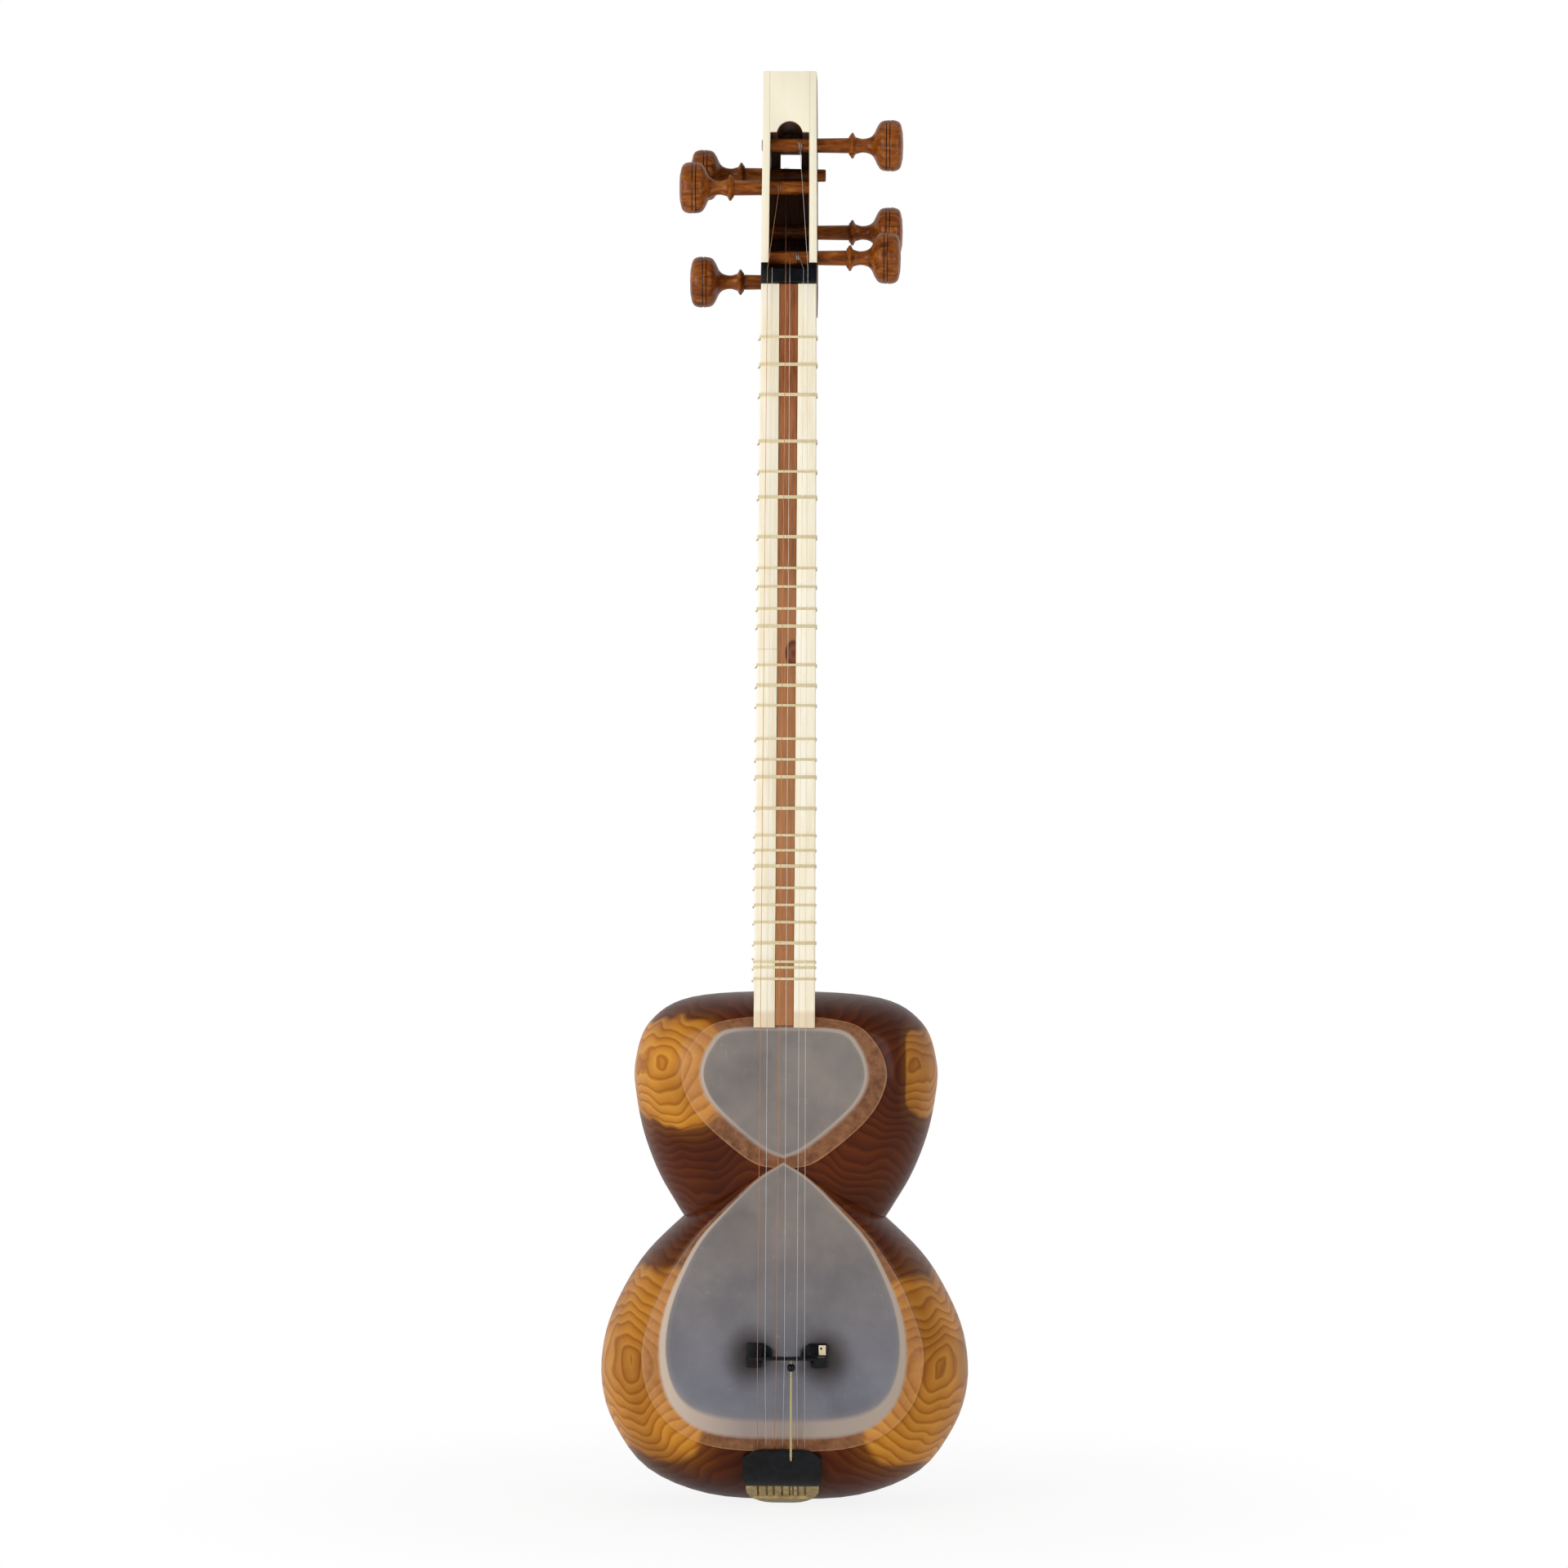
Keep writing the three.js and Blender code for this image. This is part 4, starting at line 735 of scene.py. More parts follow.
def wire_finish(name, base, light, roughness):
    # Drawn or wound wire: bright along its length, in narrow light and dark turns.
    material, tree, shader, place = new_finish(name, roughness, Metallic=1)
    wound = add_node(tree, "ShaderNodeTexWave", {"bands_direction": "Z", "Scale": bands(0.449)},
                     {"Vector": place})
    colour = add_node(tree, "ShaderNodeValToRGB", None, {"Fac": wound.outputs["Fac"]})
    set_stops(colour, [(0.2, base), (0.8, light)])
    dress(tree, shader, colour.outputs[0], wound.outputs["Fac"], 0.02)
    return material


def cord_finish(settings):
    # Waxed twisted cotton cord: straw coloured and dull, with slanting plies.
    material, tree, shader, place = new_finish("waxed cotton cord", 0.6)
    ply = add_node(tree, "ShaderNodeTexWave", {
        "bands_direction": "DIAGONAL", "Scale": bands(0.748), "Distortion": 1,
    }, {"Vector": place})
    colour = add_node(tree, "ShaderNodeValToRGB", None, {"Fac": ply.outputs["Fac"]})
    set_stops(colour, [(0.2, "#8f7a45"), (0.8, settings.cord)])
    dress(tree, shader, colour.outputs[0], ply.outputs["Fac"], 0.1)
    return material


MAKERS = {
    "mulberry": mulberry,
    "skin": skin_finish,
    "walnut": lambda settings: walnut("oiled walnut", settings.walnut, "#6a3418", "#cc9663"),
    "pegbox": lambda settings: walnut("dark oiled walnut", "#6c4128", "#351c10", "#6c4128"),
    "bone": bone_finish,
    "horn": lambda settings: horn_finish("buffed black horn", settings.horn, "#16181c", 0.3),
    "paleHorn": lambda settings: horn_finish("buffed pale horn", "#a8915f", settings.pale_horn, 0.38),
    "pegWood": peg_finish,
    "gut": gut_finish,
    "copper": lambda settings: wire_finish("wound bronze wire", "#8c5534", "#dca27a", 0.35),
    "steel": lambda settings: wire_finish("drawn steel wire", "#9a9a9a", "#e6e6e4", 0.28),
    "cord": cord_finish,
}
FINISHES = {}


def finish_for(name):
    """The tar's materials, each made once."""
    if name not in FINISHES:
        FINISHES[name] = MAKERS[name](bpy.context.scene.tar_finish)
    return FINISHES[name]


# Bowls and skins

# Rings from the rim's edge to the widest ring
RIM_RINGS = 9
# Sizes of the rings from the widest one to the deepest point of the back, and how full the back is
BACK_SCALES = (0.985, 0.95, 0.9, 0.83, 0.74, 0.64, 0.53, 0.42, 0.31, 0.2, 0.1)
BACK_FULLNESS = 0.58
# The skin's thickness, and where its rings lie over the open bowl and down the lap
FILM = 0.5
FILM_SHARES = (0.05, 0.25, 0.45, 0.65, 0.85, 1)
LAP_SHARES = (0, 0.2, 0.45, 0.7, 1)


def outline(bowl, which):
    """The full ring of one outline: down the right side from the first point, back up the left."""
    shares = [Vector((x, 0, z)) for x, z in bowl[which]]
    shares.append(Vector((-shares[-2].x, 0, shares[-2].z)))
    spans = len(bowl[which]) - 1
    right = []
    for i in range(spans * bowl["steps"] + 1):
        p = smooth_place(shares, i / bowl["steps"])
        right.append(Vector((max(p.x, 0) * bowl["half"], 0, bowl["base"] + p.z * bowl["length"])))
    right[0].x = right[-1].x = 0
    return right + [Vector((-p.x, 0, p.z)) for p in reversed(right[1:-1])]


def along_outline(bowl, which):
    """One value for each point of the full ring, the same on both sides."""
    shares = bowl[which]
    half = (len(shares) - 1) * bowl["steps"]
    return [smooth_place(shares, min(i, 2 * half - i) / bowl["steps"]) for i in range(2 * half)]


def rim_ring(bowl, sine, lift=0.0):
    """A ring of the rounded front, from the rim's edge at sine 0 to the widest ring at 1."""
    land, widest = outline(bowl, "land"), outline(bowl, "widest")
    depths = [share * bowl["depth"] for share in along_outline(bowl, "widest_depth")]
    sines = sine if isinstance(sine, list) else [sine] * len(land)
    ring = []
    for edge, wide, depth, s in zip(land, widest, depths, sines):
        cosine = math.sqrt(1 - s * s)
        p = edge.lerp(wide, s)
        p.y = depth * (1 - cosine)
        out = (wide - edge).normalized() * (s / max((wide - edge).length, 1))
        facing = (out + Vector((0, -cosine / depth, 0))).normalized()
        ring.append(p + facing * lift)
    return ring


def back_ring(bowl, scale):
    """A ring of the back, from the widest ring at scale 1 to the deepest point at 0."""
    middle = Vector((0, 0, bowl["base"] + bowl["pole"] * bowl["length"]))
    rise = (1 - scale ** 2) ** BACK_FULLNESS
    ring = []
    for wide, share in zip(outline(bowl, "widest"), along_outline(bowl, "widest_depth")):
        p = middle.lerp(wide, scale)
        p.y = lerp(share * bowl["depth"], bowl["depth"], rise)
        ring.append(p)
    return ring


def bowl_solid(bowl, name):
    """A bowl from its flat front over the rim to the deepest point of its back."""
    rings = [outline(bowl, "land")]
    rings += [rim_ring(bowl, math.sin(QUARTER * (i + 1) / RIM_RINGS)) for i in range(RIM_RINGS)]
    rings += [back_ring(bowl, scale) for scale in BACK_SCALES]
    height = bowl["base"] + bowl["pole"] * bowl["length"]
    ends = (at(0, 0, height), at(0, bowl["depth"], height))
    return lofted(name, [[at(*p) for p in ring] for ring in rings], ends)


def skin_rings(bowl):
    """Rings of a skin with their places: to 1 over the open bowl, to 2 over the rim, to 3 down the lap."""
    opening, land = outline(bowl, "opening"), outline(bowl, "land")
    first, last = bowl["opening"][0][1], bowl["opening"][-1][1]
    middle = Vector((0, 0, bowl["base"] + (first + last) / 2 * bowl["length"]))
    lift = SEAT_GAP + FILM / 2
    rings, places = [], []
    for share in FILM_SHARES:
        rings.append([middle.lerp(p, share) + Vector((0, -lift, 0)) for p in opening])
        places.append(share)
    rings.append([a.lerp(b, 0.5) + Vector((0, -lift, 0)) for a, b in zip(opening, land)])
    places.append(1.5)
    lap = along_outline(bowl, "lap")
    for share in LAP_SHARES:
        rings.append(rim_ring(bowl, [sine * share for sine in lap], lift))
        places.append(2 + share)
    return rings, places


def skin_sheet(bowl, name):
    """A skin with its thickness, and the area of one side of it."""
    rings, places = skin_rings(bowl)
    count = len(rings[0])
    piece = lofted(name, [[at(*p) for p in ring] for ring in rings], smooth=False)
    edit(piece, "FACE")
    bpy.ops.object.mode_set(mode="OBJECT")
    for face in piece.data.polygons:
        face.select = min(face.vertices) >= count * (len(rings) - 1)
    bpy.ops.object.mode_set(mode="EDIT")
    bpy.ops.mesh.delete(type="ONLY_FACE")
    bpy.ops.object.mode_set(mode="OBJECT")
    mark = piece.data.attributes.new("across", "FLOAT", "POINT")
    for i, vertex in enumerate(mark.data):
        vertex.value = places[min(i // count, len(places) - 1)]
    if sum(face.normal.y for face in piece.data.polygons) > 0:
        edit(piece)
        bpy.ops.mesh.select_all(action="SELECT")
        bpy.ops.mesh.flip_normals()
        bpy.ops.object.mode_set(mode="OBJECT")
    area = sum(face.area for face in piece.data.polygons)
    thick = piece.modifiers.new("Thickness", "SOLIDIFY")
    thick.thickness = FILM * MM
    thick.offset = 0
    finish_modifiers(piece)
    bpy.ops.object.shade_smooth_by_angle(angle=FILM_CREASE)
    return piece, area


class TarBowls(bpy.types.Operator):
    """The two carved halves of the double bowl"""
    bl_idname = "tar.bowls"
    bl_label = "Bowls"

    def execute(self, context):
        whole = bowl_solid(LARGE_BOWL, "bowls")
        combine(whole, bowl_solid(SMALL_BOWL, "small bowl"), "UNION")
        for side, name in ((-1, "left"), (1, "right")):
            half = whole.copy()
            half.data = whole.data.copy()
            half.name = half.data.name = f"bowl_half_{name}"
            context.scene.collection.objects.link(half)
            edit(half)
            bpy.ops.mesh.select_all(action="SELECT")
            bpy.ops.mesh.bisect(plane_co=(side * GLUE_LINE / 2 * MM, 0, 0), plane_no=(side, 0, 0),
                                use_fill=True, clear_inner=True, threshold=MERGE)
            bpy.ops.object.mode_set(mode="OBJECT")
            bpy.ops.object.shade_smooth_by_angle(angle=CREASE)
            fit(half, finish_for("mulberry"), "frame", "mulberry", f"body_{name}")
        bpy.data.objects.remove(whole)
        return {"FINISHED"}


class TarSkins(bpy.types.Operator):
    """The two skin faces, glued over the rims"""
    bl_idname = "tar.skins"
    bl_label = "Skins"

    def execute(self, context):
        for bowl, size in ((LARGE_BOWL, "large"), (SMALL_BOWL, "small")):
            film, area = skin_sheet(bowl, f"skin_film_{size}")
            fit(film, finish_for("skin"), "frame", "skin", f"skin_{size}")
        return {"FINISHED"}


# Neck and frets

NECK_RINGS = (1.5, 160, 320, NECK_LENGTH - SEAT_GAP)
BACK_STEPS = 28
FRET_STEPS = 24
# Half the width and the size of the block that clears the neck's end for the pegbox's tongue
TONGUE_CLEAR = 30
# The way that the bone's rounded edge faces, half way round: across and back
EDGE_FACING = (0.45, -0.89)
# The knot of a fret: from the neck's edge, back from the bone, half its loops, its gut's radius,
# and from the last turn
KNOT_OUT = 1.15
KNOT_BACK = 5
KNOT_LOOP = 0.42
KNOT_WAVE = 0.5
KNOT_RADIUS = 0.24
KNOT_DROP = 0.75
KNOT_STEPS = 24
# There is no room for its knot on the side of the body.
KNOT_ABOVE = "fret_26"


def neck_size(height):
    """Half the neck's width and its depth."""
    share = height / NECK_LENGTH
    return lerp(*NECK_HALF, share), lerp(*NECK_DEPTH, share)


def neck_back(height, steps):
    """Points round the neck's back with the way they face, from the right side to the left."""
    half, depth = neck_size(height)
    points = []
    for i in range(steps + 1):
        angle = math.pi * i / steps
        c, s = math.cos(angle), math.sin(angle)
        points.append((half * c, NECK_SIDE_DEPTH + (depth - NECK_SIDE_DEPTH) * s, c, s))
    return points


def neck_ring(height):
    """The neck's section: its centre strip, the rebates for the bone, and the round back."""
    half, _ = neck_size(height)
    section = [(-STRIP_HALF, BONE), (-STRIP_HALF, 0), (STRIP_HALF, 0), (STRIP_HALF, BONE), (half, BONE)]
    section += [(x, y) for x, y, _, _ in neck_back(height, BACK_STEPS)] + [(-half, BONE)]
    return [neck_at(x, y, height) for x, y in section]


class TarNeck(bpy.types.Operator):
    """The walnut neck and its bone facing"""
    bl_idname = "tar.neck"
    bl_label = "Neck"

    def execute(self, context):
        wood = lofted("neck_wood", [neck_ring(height) for height in NECK_RINGS])
        bpy.ops.mesh.primitive_cube_add(size=1)
        lap = context.object
        for vertex in lap.data.vertices:
            x, y, z = (0 if c < 0 else 1 for c in vertex.co)
            vertex.co = neck_at(lerp(-TONGUE_CLEAR, TONGUE_CLEAR, x),
                                TONGUE_DEPTH - SEAT_GAP + TONGUE_CLEAR * y,
                                NECK_LENGTH - TONGUE_LENGTH - SEAT_GAP + TONGUE_CLEAR * z)
        combine(wood, lap, "DIFFERENCE")
        bpy.ops.object.shade_smooth_by_angle(angle=FINE_CREASE)
        fit(wood, finish_for("walnut"), "frame", "walnut", "neck")
        for side in ("left", "right"):
            strip = eased_copy(f"bone_{side}", f"bone_facing_{side}", context.scene.tar_sizes.bone_edge)
            fit(strip, finish_for("bone"), "frame", "bone", f"bone_{side}")
        return {"FINISHED"}


def fret_path(height, turns, turn, gut):
    """One turn of gut round the neck, in the fret's own row of turns."""
    half, _ = neck_size(height)
    lift = SEAT_GAP + gut / 2
    across, back = EDGE_FACING
    corner = [(half - BONE_EDGE, 0, across, back), (half, BONE_EDGE, -back, -across)]
    around = corner + neck_back(height, FRET_STEPS) + [(-x, y, -c, s) for x, y, c, s in reversed(corner)]
    along = height + (turn - (turns - 1) / 2) * gut
    return [neck_at(x + c * lift, y + s * lift, along) for x, y, c, s in around]


def knot_path(height, fret_height):
    """An overhand knot at the left edge: a trefoil, narrower than it is high."""
    half, _ = neck_size(fret_height)
    points = []
    for i in range(KNOT_STEPS + 1):
        t = 2 * math.pi * i / KNOT_STEPS
        out = KNOT_LOOP * (math.sin(t) + 1.3 * math.sin(2 * t)) * 0.6
        up = KNOT_LOOP * (math.cos(t) - 1.3 * math.cos(2 * t)) * 0.7
        points.append(neck_at(-half - KNOT_OUT + out, KNOT_BACK + KNOT_WAVE * math.sin(3 * t), height + up))
    return points


class TarFrets(bpy.types.Operator):
    """The tied gut frets, each its own turns and knot"""
    bl_idname = "tar.frets"
    bl_label = "Frets"

    def execute(self, context):
        gut = context.scene.tar_sizes.gut / MM
        for i, (share, turns) in enumerate(zip(FRET_PLACES, FRET_TURNS)):
            height = NECK_LENGTH - share * STRING_LENGTH
            name = f"fret_{i + 1:02d}"
            paths = [fret_path(height, turns, turn, gut) for turn in range(turns)]
            band = tube(f"gut_{name}", paths, gut / 2, 2, closed=True)
            drop = turns * gut / 2 + KNOT_DROP
            place = height + drop if name == KNOT_ABOVE else height - drop
            knot = tube("knot", [knot_path(place, height)], KNOT_RADIUS, 1, closed=True)
            select_only(band, knot)
            bpy.ops.object.join()
            fit(band, finish_for("gut"), name, "gut", name)
        return {"FINISHED"}


# Head, nut and pegs

# The rounding of a shaft's end
END_EDGE = 0.6
# Shapes along a peg from its collar: places in shares of the head's length, radii in shares of the knob's
COLLAR = [(0, 0.36), (0.02, 0.4), (0.045, 0.49), (0.06, 0.508), (0.08, 0.505), (0.092, 0.47), (0.11, 0.385)]
FLARE = [Vector(point) for point in (
    (0.13, 0.33), (0.25, 0.27), (0.38, 0.32), (0.46, 0.46), (0.53, 0.76), (0.6, 0.94), (0.72, 1),
    (0.86, 0.985), (0.95, 0.86), (0.995, 0.52),
)]
FLARE_STEPS = 7
# How far the crown of the knob swells past its last ring, and the turned grooves' half width and depth
CROWN = 0.35
GROOVE_HALF = 0.42
GROOVE_DEPTH = 0.55
PEG_SIDES = 40


def head_at(x, y, z):
    """A point counted from the nut's lower edge, up the head."""
    return neck_at(x, y, NECK_LENGTH + z)


class TarHead(bpy.types.Operator):
    """The pegbox with its bone facing, and the nut"""
    bl_idname = "tar.head"
    bl_label = "Head"

    def execute(self, context):
        sizes = context.scene.tar_sizes
        box = eased_copy("pegbox", "pegbox_wood", sizes.walnut_edge)
        fit(box, finish_for("pegbox"), "frame", "walnut", "pegbox")
        face = eased_copy("head_facing", "head_bone", sizes.bone_edge)
        fit(face, finish_for("bone"), "frame", "bone", "head_facing")
        nut = eased_copy("nut", "horn_nut", sizes.horn_edge)
        fit(nut, finish_for("horn"), "frame", "horn", "nut")
        return {"FINISHED"}


def shaft_radius(peg, from_collar):
    """The tapered shaft's radius at a distance from its collar."""
    return lerp(*SHAFT_RADII, from_collar / (peg.reach + 2 * HEAD_HALF + peg.stub))


def peg_profile(peg):
    """Distance from the middle of the box and radius, from the shaft's end to the crown of the knob."""
    collar = HEAD_HALF + peg.reach
    end = -HEAD_HALF - peg.stub
    low = shaft_radius(peg, collar - end)
    profile = [(end, low - END_EDGE), (end + END_EDGE, low), (HEAD_HALF, shaft_radius(peg, peg.reach)),
               (collar, SHAFT_RADII[0])]
    profile += [(collar + out * PEG_HEAD, radius * KNOB) for out, radius in COLLAR]
    for i in range(FLARE_STEPS * (len(FLARE) - 1) + 1):
        p = smooth_place(FLARE, i / FLARE_STEPS)
        out = p.x * PEG_HEAD
        groove = sum(max(0, 1 - abs(out - middle) / GROOVE_HALF) for middle in GROOVES)
        profile.append((collar + out, p.y * KNOB - GROOVE_DEPTH * groove))
    return profile


def turned(name, peg):
    """A peg turned to its profile. Each of its points keeps its distance from the collar, for the rings."""
    profile = peg_profile(peg)
    rings = []
    for out, radius in profile:
        rings.append([head_at(peg.side * out, peg.row + radius * c, peg.height + radius * s)
                      for c, s in circle(PEG_SIDES)])
    crown = head_at(peg.side * (profile[-1][0] + CROWN), peg.row, peg.height)
    piece = lofted(name, rings, (None, crown))
    collar = HEAD_HALF + peg.reach
    mark = piece.data.attributes.new("along", "FLOAT", "POINT")
    for i, vertex in enumerate(mark.data):
        vertex.value = profile[min(i // PEG_SIDES, len(profile) - 1)][0] - collar
    return piece


class TarPegs(bpy.types.Operator):
    """The six turned pegs"""
    bl_idname = "tar.pegs"
    bl_label = "Pegs"

    def execute(self, context):
        for name, peg in PEGS.items():
            piece = turned(f"turned_{name}", peg)
            fit(piece, finish_for("pegWood"), name, "pegWood", name)
        return {"FINISHED"}


# Strings

# How far toward its place on the bridge a string has come by the upper edge of the hand rest
PAD_RUN = 0.4
# Between turns on a peg, and from the string's end to its winding
TURN_GAP = 0.5
STRING_STOP = 3.2
TURN_STEPS = 36
# The string of the first peg is led over the shaft of the second.
LED_OVER = ("peg_right_middle", "peg_right_low")


def foot_at(x, sweep_share, lift):
    """A place over the large bowl's foot, from the rim's edge at 0 to the lowest ring at 1."""
    sweep = sweep_share * QUARTER
    base, length = LARGE_BOWL["base"], LARGE_BOWL["length"]
    rise = LARGE_BOWL["land"][-1][1] * length
    depth = LARGE_BOWL["widest_depth"][-1] * LARGE_BOWL["depth"]
    p = Vector((x, depth * (1 - math.cos(sweep)), base + rise - rise * math.sin(sweep)))
    return p + Vector((0, -math.cos(sweep) / depth, -math.sin(sweep) / rise)).normalized() * lift


def winding_radius(peg):
    """From the peg's axis to the middle of the wire wound on it."""
    shaft = shaft_radius(peg, HEAD_HALF + peg.reach - peg.side * peg.place)
    return shaft + SEAT_GAP + STRINGS[peg.string].gauge / 2


def contact(start, height, row, radius):
    """Where a string from a start meets a circle round a peg, on its upper front side."""
    rise, back = height - start[0], row - start[1]
    angle = math.atan2(back, rise) - math.asin(radius / math.hypot(rise, back))
    return height + radius * math.sin(angle), row - radius * math.cos(angle)


def head_route(peg):
    """Heights and depths of a string in the head: off the nut, past what is in its way, to its peg."""
    half_gauge = STRINGS[peg.string].gauge / 2
    lift = half_gauge + SEAT_GAP
    leaves = (NUT_LENGTH - SEAT_GAP, NUT_FALL - NUT_HEIGHT - lift)
    route = [leaves]
    if peg.height < NUT_LENGTH:
        route += [(NUT_LENGTH + half_gauge + SEAT_GAP, -NUT_HEIGHT),
                  (NUT_LENGTH + lift + half_gauge, -NUT_HEIGHT * 0.4)]
    led, over = (PEGS[name] for name in LED_OVER)
    if peg == led:
        around = shaft_radius(over, HEAD_HALF + over.reach) + lift
        angle = math.atan2(peg.row - over.row, peg.height - over.height)
        route += [contact(leaves, over.height, over.row, around),
                  (over.height + around * math.sin(angle), over.row - around * math.cos(angle))]
    return route + [contact(route[-1], peg.height, peg.row, winding_radius(peg))]


def string_path(peg):
    """From the tailpiece, under the hand rest, over bridge and nut, to just short of the winding."""
    wire = STRINGS[peg.string]
    lift = wire.gauge / 2 + SEAT_GAP
    edge = SEAT_GAP / (LARGE_BOWL["widest_depth"][-1] * LARGE_BOWL["depth"]) / QUARTER
    bridge_x, nut_x, tail_x = wire.bridge * BRIDGE_HALF, wire.nut * NECK_HALF[1], wire.tail * TAIL_HALF
    start, end = PAD_ENDS
    foot = [LIP - 3 * edge, lerp(end, LIP, 0.5), end, lerp(end, start, 0.33), lerp(end, start, 0.67), start]
    points = []
    for i, sweep_share in enumerate(foot):
        across = lerp(tail_x, bridge_x, i / len(foot) * PAD_RUN)
        points.append(at(*foot_at(across, sweep_share, STRING_LIFT)))
    points.append(at(bridge_x, -BRIDGE_HEIGHT, BRIDGE_PLACE))
    points.append(neck_at(nut_x, -NUT_HEIGHT - lift, NECK_LENGTH + 3 * SEAT_GAP))
    route = head_route(peg)
    leaves, meet = route[0], route[-1]
    whole = meet[0] - leaves[0] + meet[1] - leaves[1]
    for height, depth in route:
        share = (height - leaves[0] + depth - leaves[1]) / whole
        points.append(head_at(lerp(nut_x, peg.place, share), depth, height))
    points[-1] -= (points[-1] - points[-2]).normalized() * STRING_STOP * MM
    return points


def winding_path(peg):
    """A helix of wire round a peg's shaft."""
    pitch = STRINGS[peg.string].gauge + TURN_GAP
    radius = winding_radius(peg)
    points = []
    for i in range(WINDING_TURNS * TURN_STEPS + 1):
        turn = i / TURN_STEPS
        angle = 2 * math.pi * i / TURN_STEPS
        along = (turn - WINDING_TURNS / 2) * pitch
        points.append(head_at(peg.place + peg.side * along, peg.row - radius * math.cos(angle),
                              peg.height + radius * math.sin(angle)))
    return points


class TarStrings(bpy.types.Operator):
    """The six strings and their windings on the pegs"""
    bl_idname = "tar.strings"
    bl_label = "Strings"

    def execute(self, context):
        for name, peg in PEGS.items():
            number = peg.string + 1
            gauge = STRINGS[peg.string].gauge
            metal = "copper" if gauge == BRONZE else "steel"
            radius = gauge / 2 * context.scene.tar_sizes.wire_share
            wire = tube(f"wire_{number}", [string_path(peg)], radius, 3)
            fit(wire, finish_for(metal), "frame", metal, f"string_{number}")
            turns = tube(f"wire_turns_{number}", [winding_path(peg)], radius, 2)
            fit(turns, finish_for(metal), name, metal, f"winding_{number}")
        return {"FINISHED"}


# Bridge and tail

# How far the cord's middle clears the foot on its way under the hand rest, besides half its thickness
TETHER_CLEAR = 0.7
# Where the cord lies between the tailpiece's lip and the upper part of the hand rest
TETHER_WAY = (LIP - 0.01, 0.53, 0.47, 0.41, 0.35, 0.28, 0.21)
TETHER_TOP = PAD_ENDS[0] + 0.003
# The cord ends this far under the bridge's bar.
TETHER_STOP = 1.3
BEAD_SIDES = 24
BEAD_PROFILE = ((-2.5, 0.9), (-2.3, 1.6), (-1.5, 2.3), (0, 2.65), (1.5, 2.3), (2.3, 1.6), (2.5, 0.9))
# The chip of bone in the bridge's right foot: its place from the foot's end, front and bar, and its size
PATCH_PLACE = (-2.8, -3.4, 4.3)
PATCH_SIZE = (4.6, 1, 6.4)
PATCH_SUNK = 0.4
PATCH_EDGE = 0.3
PIN_PLACE = (-0.7, 1)
PIN_RADIUS = 0.75
PIN_LENGTH = 6


def bead_middle():
    """The middle of the bead, halfway between the skin and the bridge's top."""
    return Vector((TETHER_PLACE, -(BRIDGE_HEIGHT + SKIN_TOP) / 2, BRIDGE_PLACE - BEAD_DROP))


def tether_path(thickness):
    """From the tailpiece's lip, under and over the hand rest's edge, through the bead to the bridge."""
    lift = thickness / 2 + TETHER_CLEAR
    over_pad = PAD_TOP + SEAT_GAP + thickness / 2
    corners = [foot_at(TETHER_PLACE, share, lift) for share in TETHER_WAY]
    for share in ((TETHER_TOP + TETHER_WAY[-1]) / 2, TETHER_TOP):
        corners.append(foot_at(TETHER_PLACE, share, over_pad))
    middle = bead_middle()
    corners += [corners[-1].lerp(middle, share) for share in (0.3, 0.6, 0.9)]
    corners += [middle + Vector((0, 0, 1)), middle + Vector((0, 0, BEAD_DROP - TETHER_STOP))]
    return [at(*smooth_place(corners, i / 4)) for i in range(4 * (len(corners) - 1) + 1)]


class TarBridge(bpy.types.Operator):
    """The horn bridge, and the cord with its bead that holds it"""
    bl_idname = "tar.bridge"
    bl_label = "Bridge"

    def execute(self, context):
        sizes = context.scene.tar_sizes
        bridge = eased_copy("bridge", "horn_bridge", sizes.horn_edge)
        fit(bridge, finish_for("horn"), "frame", "horn", "bridge")
        fit(self.foot_patch(), finish_for("bone"), "frame", "bone", "bridge")
        bead = self.bead()
        fit(bead, finish_for("horn"), "frame", "horn", "bridge_tether")
        path = tether_path(sizes.tether / MM)
        tether = tube("cord_tether", [path], sizes.tether / MM / 2, 4)
        fit(tether, finish_for("cord"), "frame", "cord", "bridge_tether")
        return {"FINISHED"}

    def foot_patch(self):
        """A chip of bone let into the right foot, with its pin hole."""
        across, y, up = PATCH_PLACE
        x, z = BRIDGE_SHIFT + BRIDGE_HALF + across, BRIDGE_PLACE + up
        bpy.ops.mesh.primitive_cube_add(size=MM, location=at(x, y - PATCH_SUNK, z), scale=PATCH_SIZE)
        patch = bpy.context.object
        patch.name = patch.data.name = "bone_patch"
        bpy.ops.object.transform_apply(location=True, rotation=True, scale=True)
        ease_edges(patch, PATCH_EDGE * MM, 2)
        pin_x, pin_z = PIN_PLACE
        bpy.ops.mesh.primitive_cylinder_add(vertices=20, radius=PIN_RADIUS * MM, depth=PIN_LENGTH * MM,
                                            location=at(x + pin_x, y, z + pin_z), rotation=(QUARTER, 0, 0))
        combine(patch, bpy.context.object, "DIFFERENCE")
        bpy.ops.object.shade_smooth_by_angle(angle=CREASE)
        return patch

    def bead(self):
        """A barrel bead that the cord passes through."""
        middle = bead_middle()
        rings = []
        for up, radius in BEAD_PROFILE:
            rings.append([at(*(middle + Vector((radius * c, radius * s, up))))
                          for c, s in circle(BEAD_SIDES)])
        return lofted("horn_bead", rings)


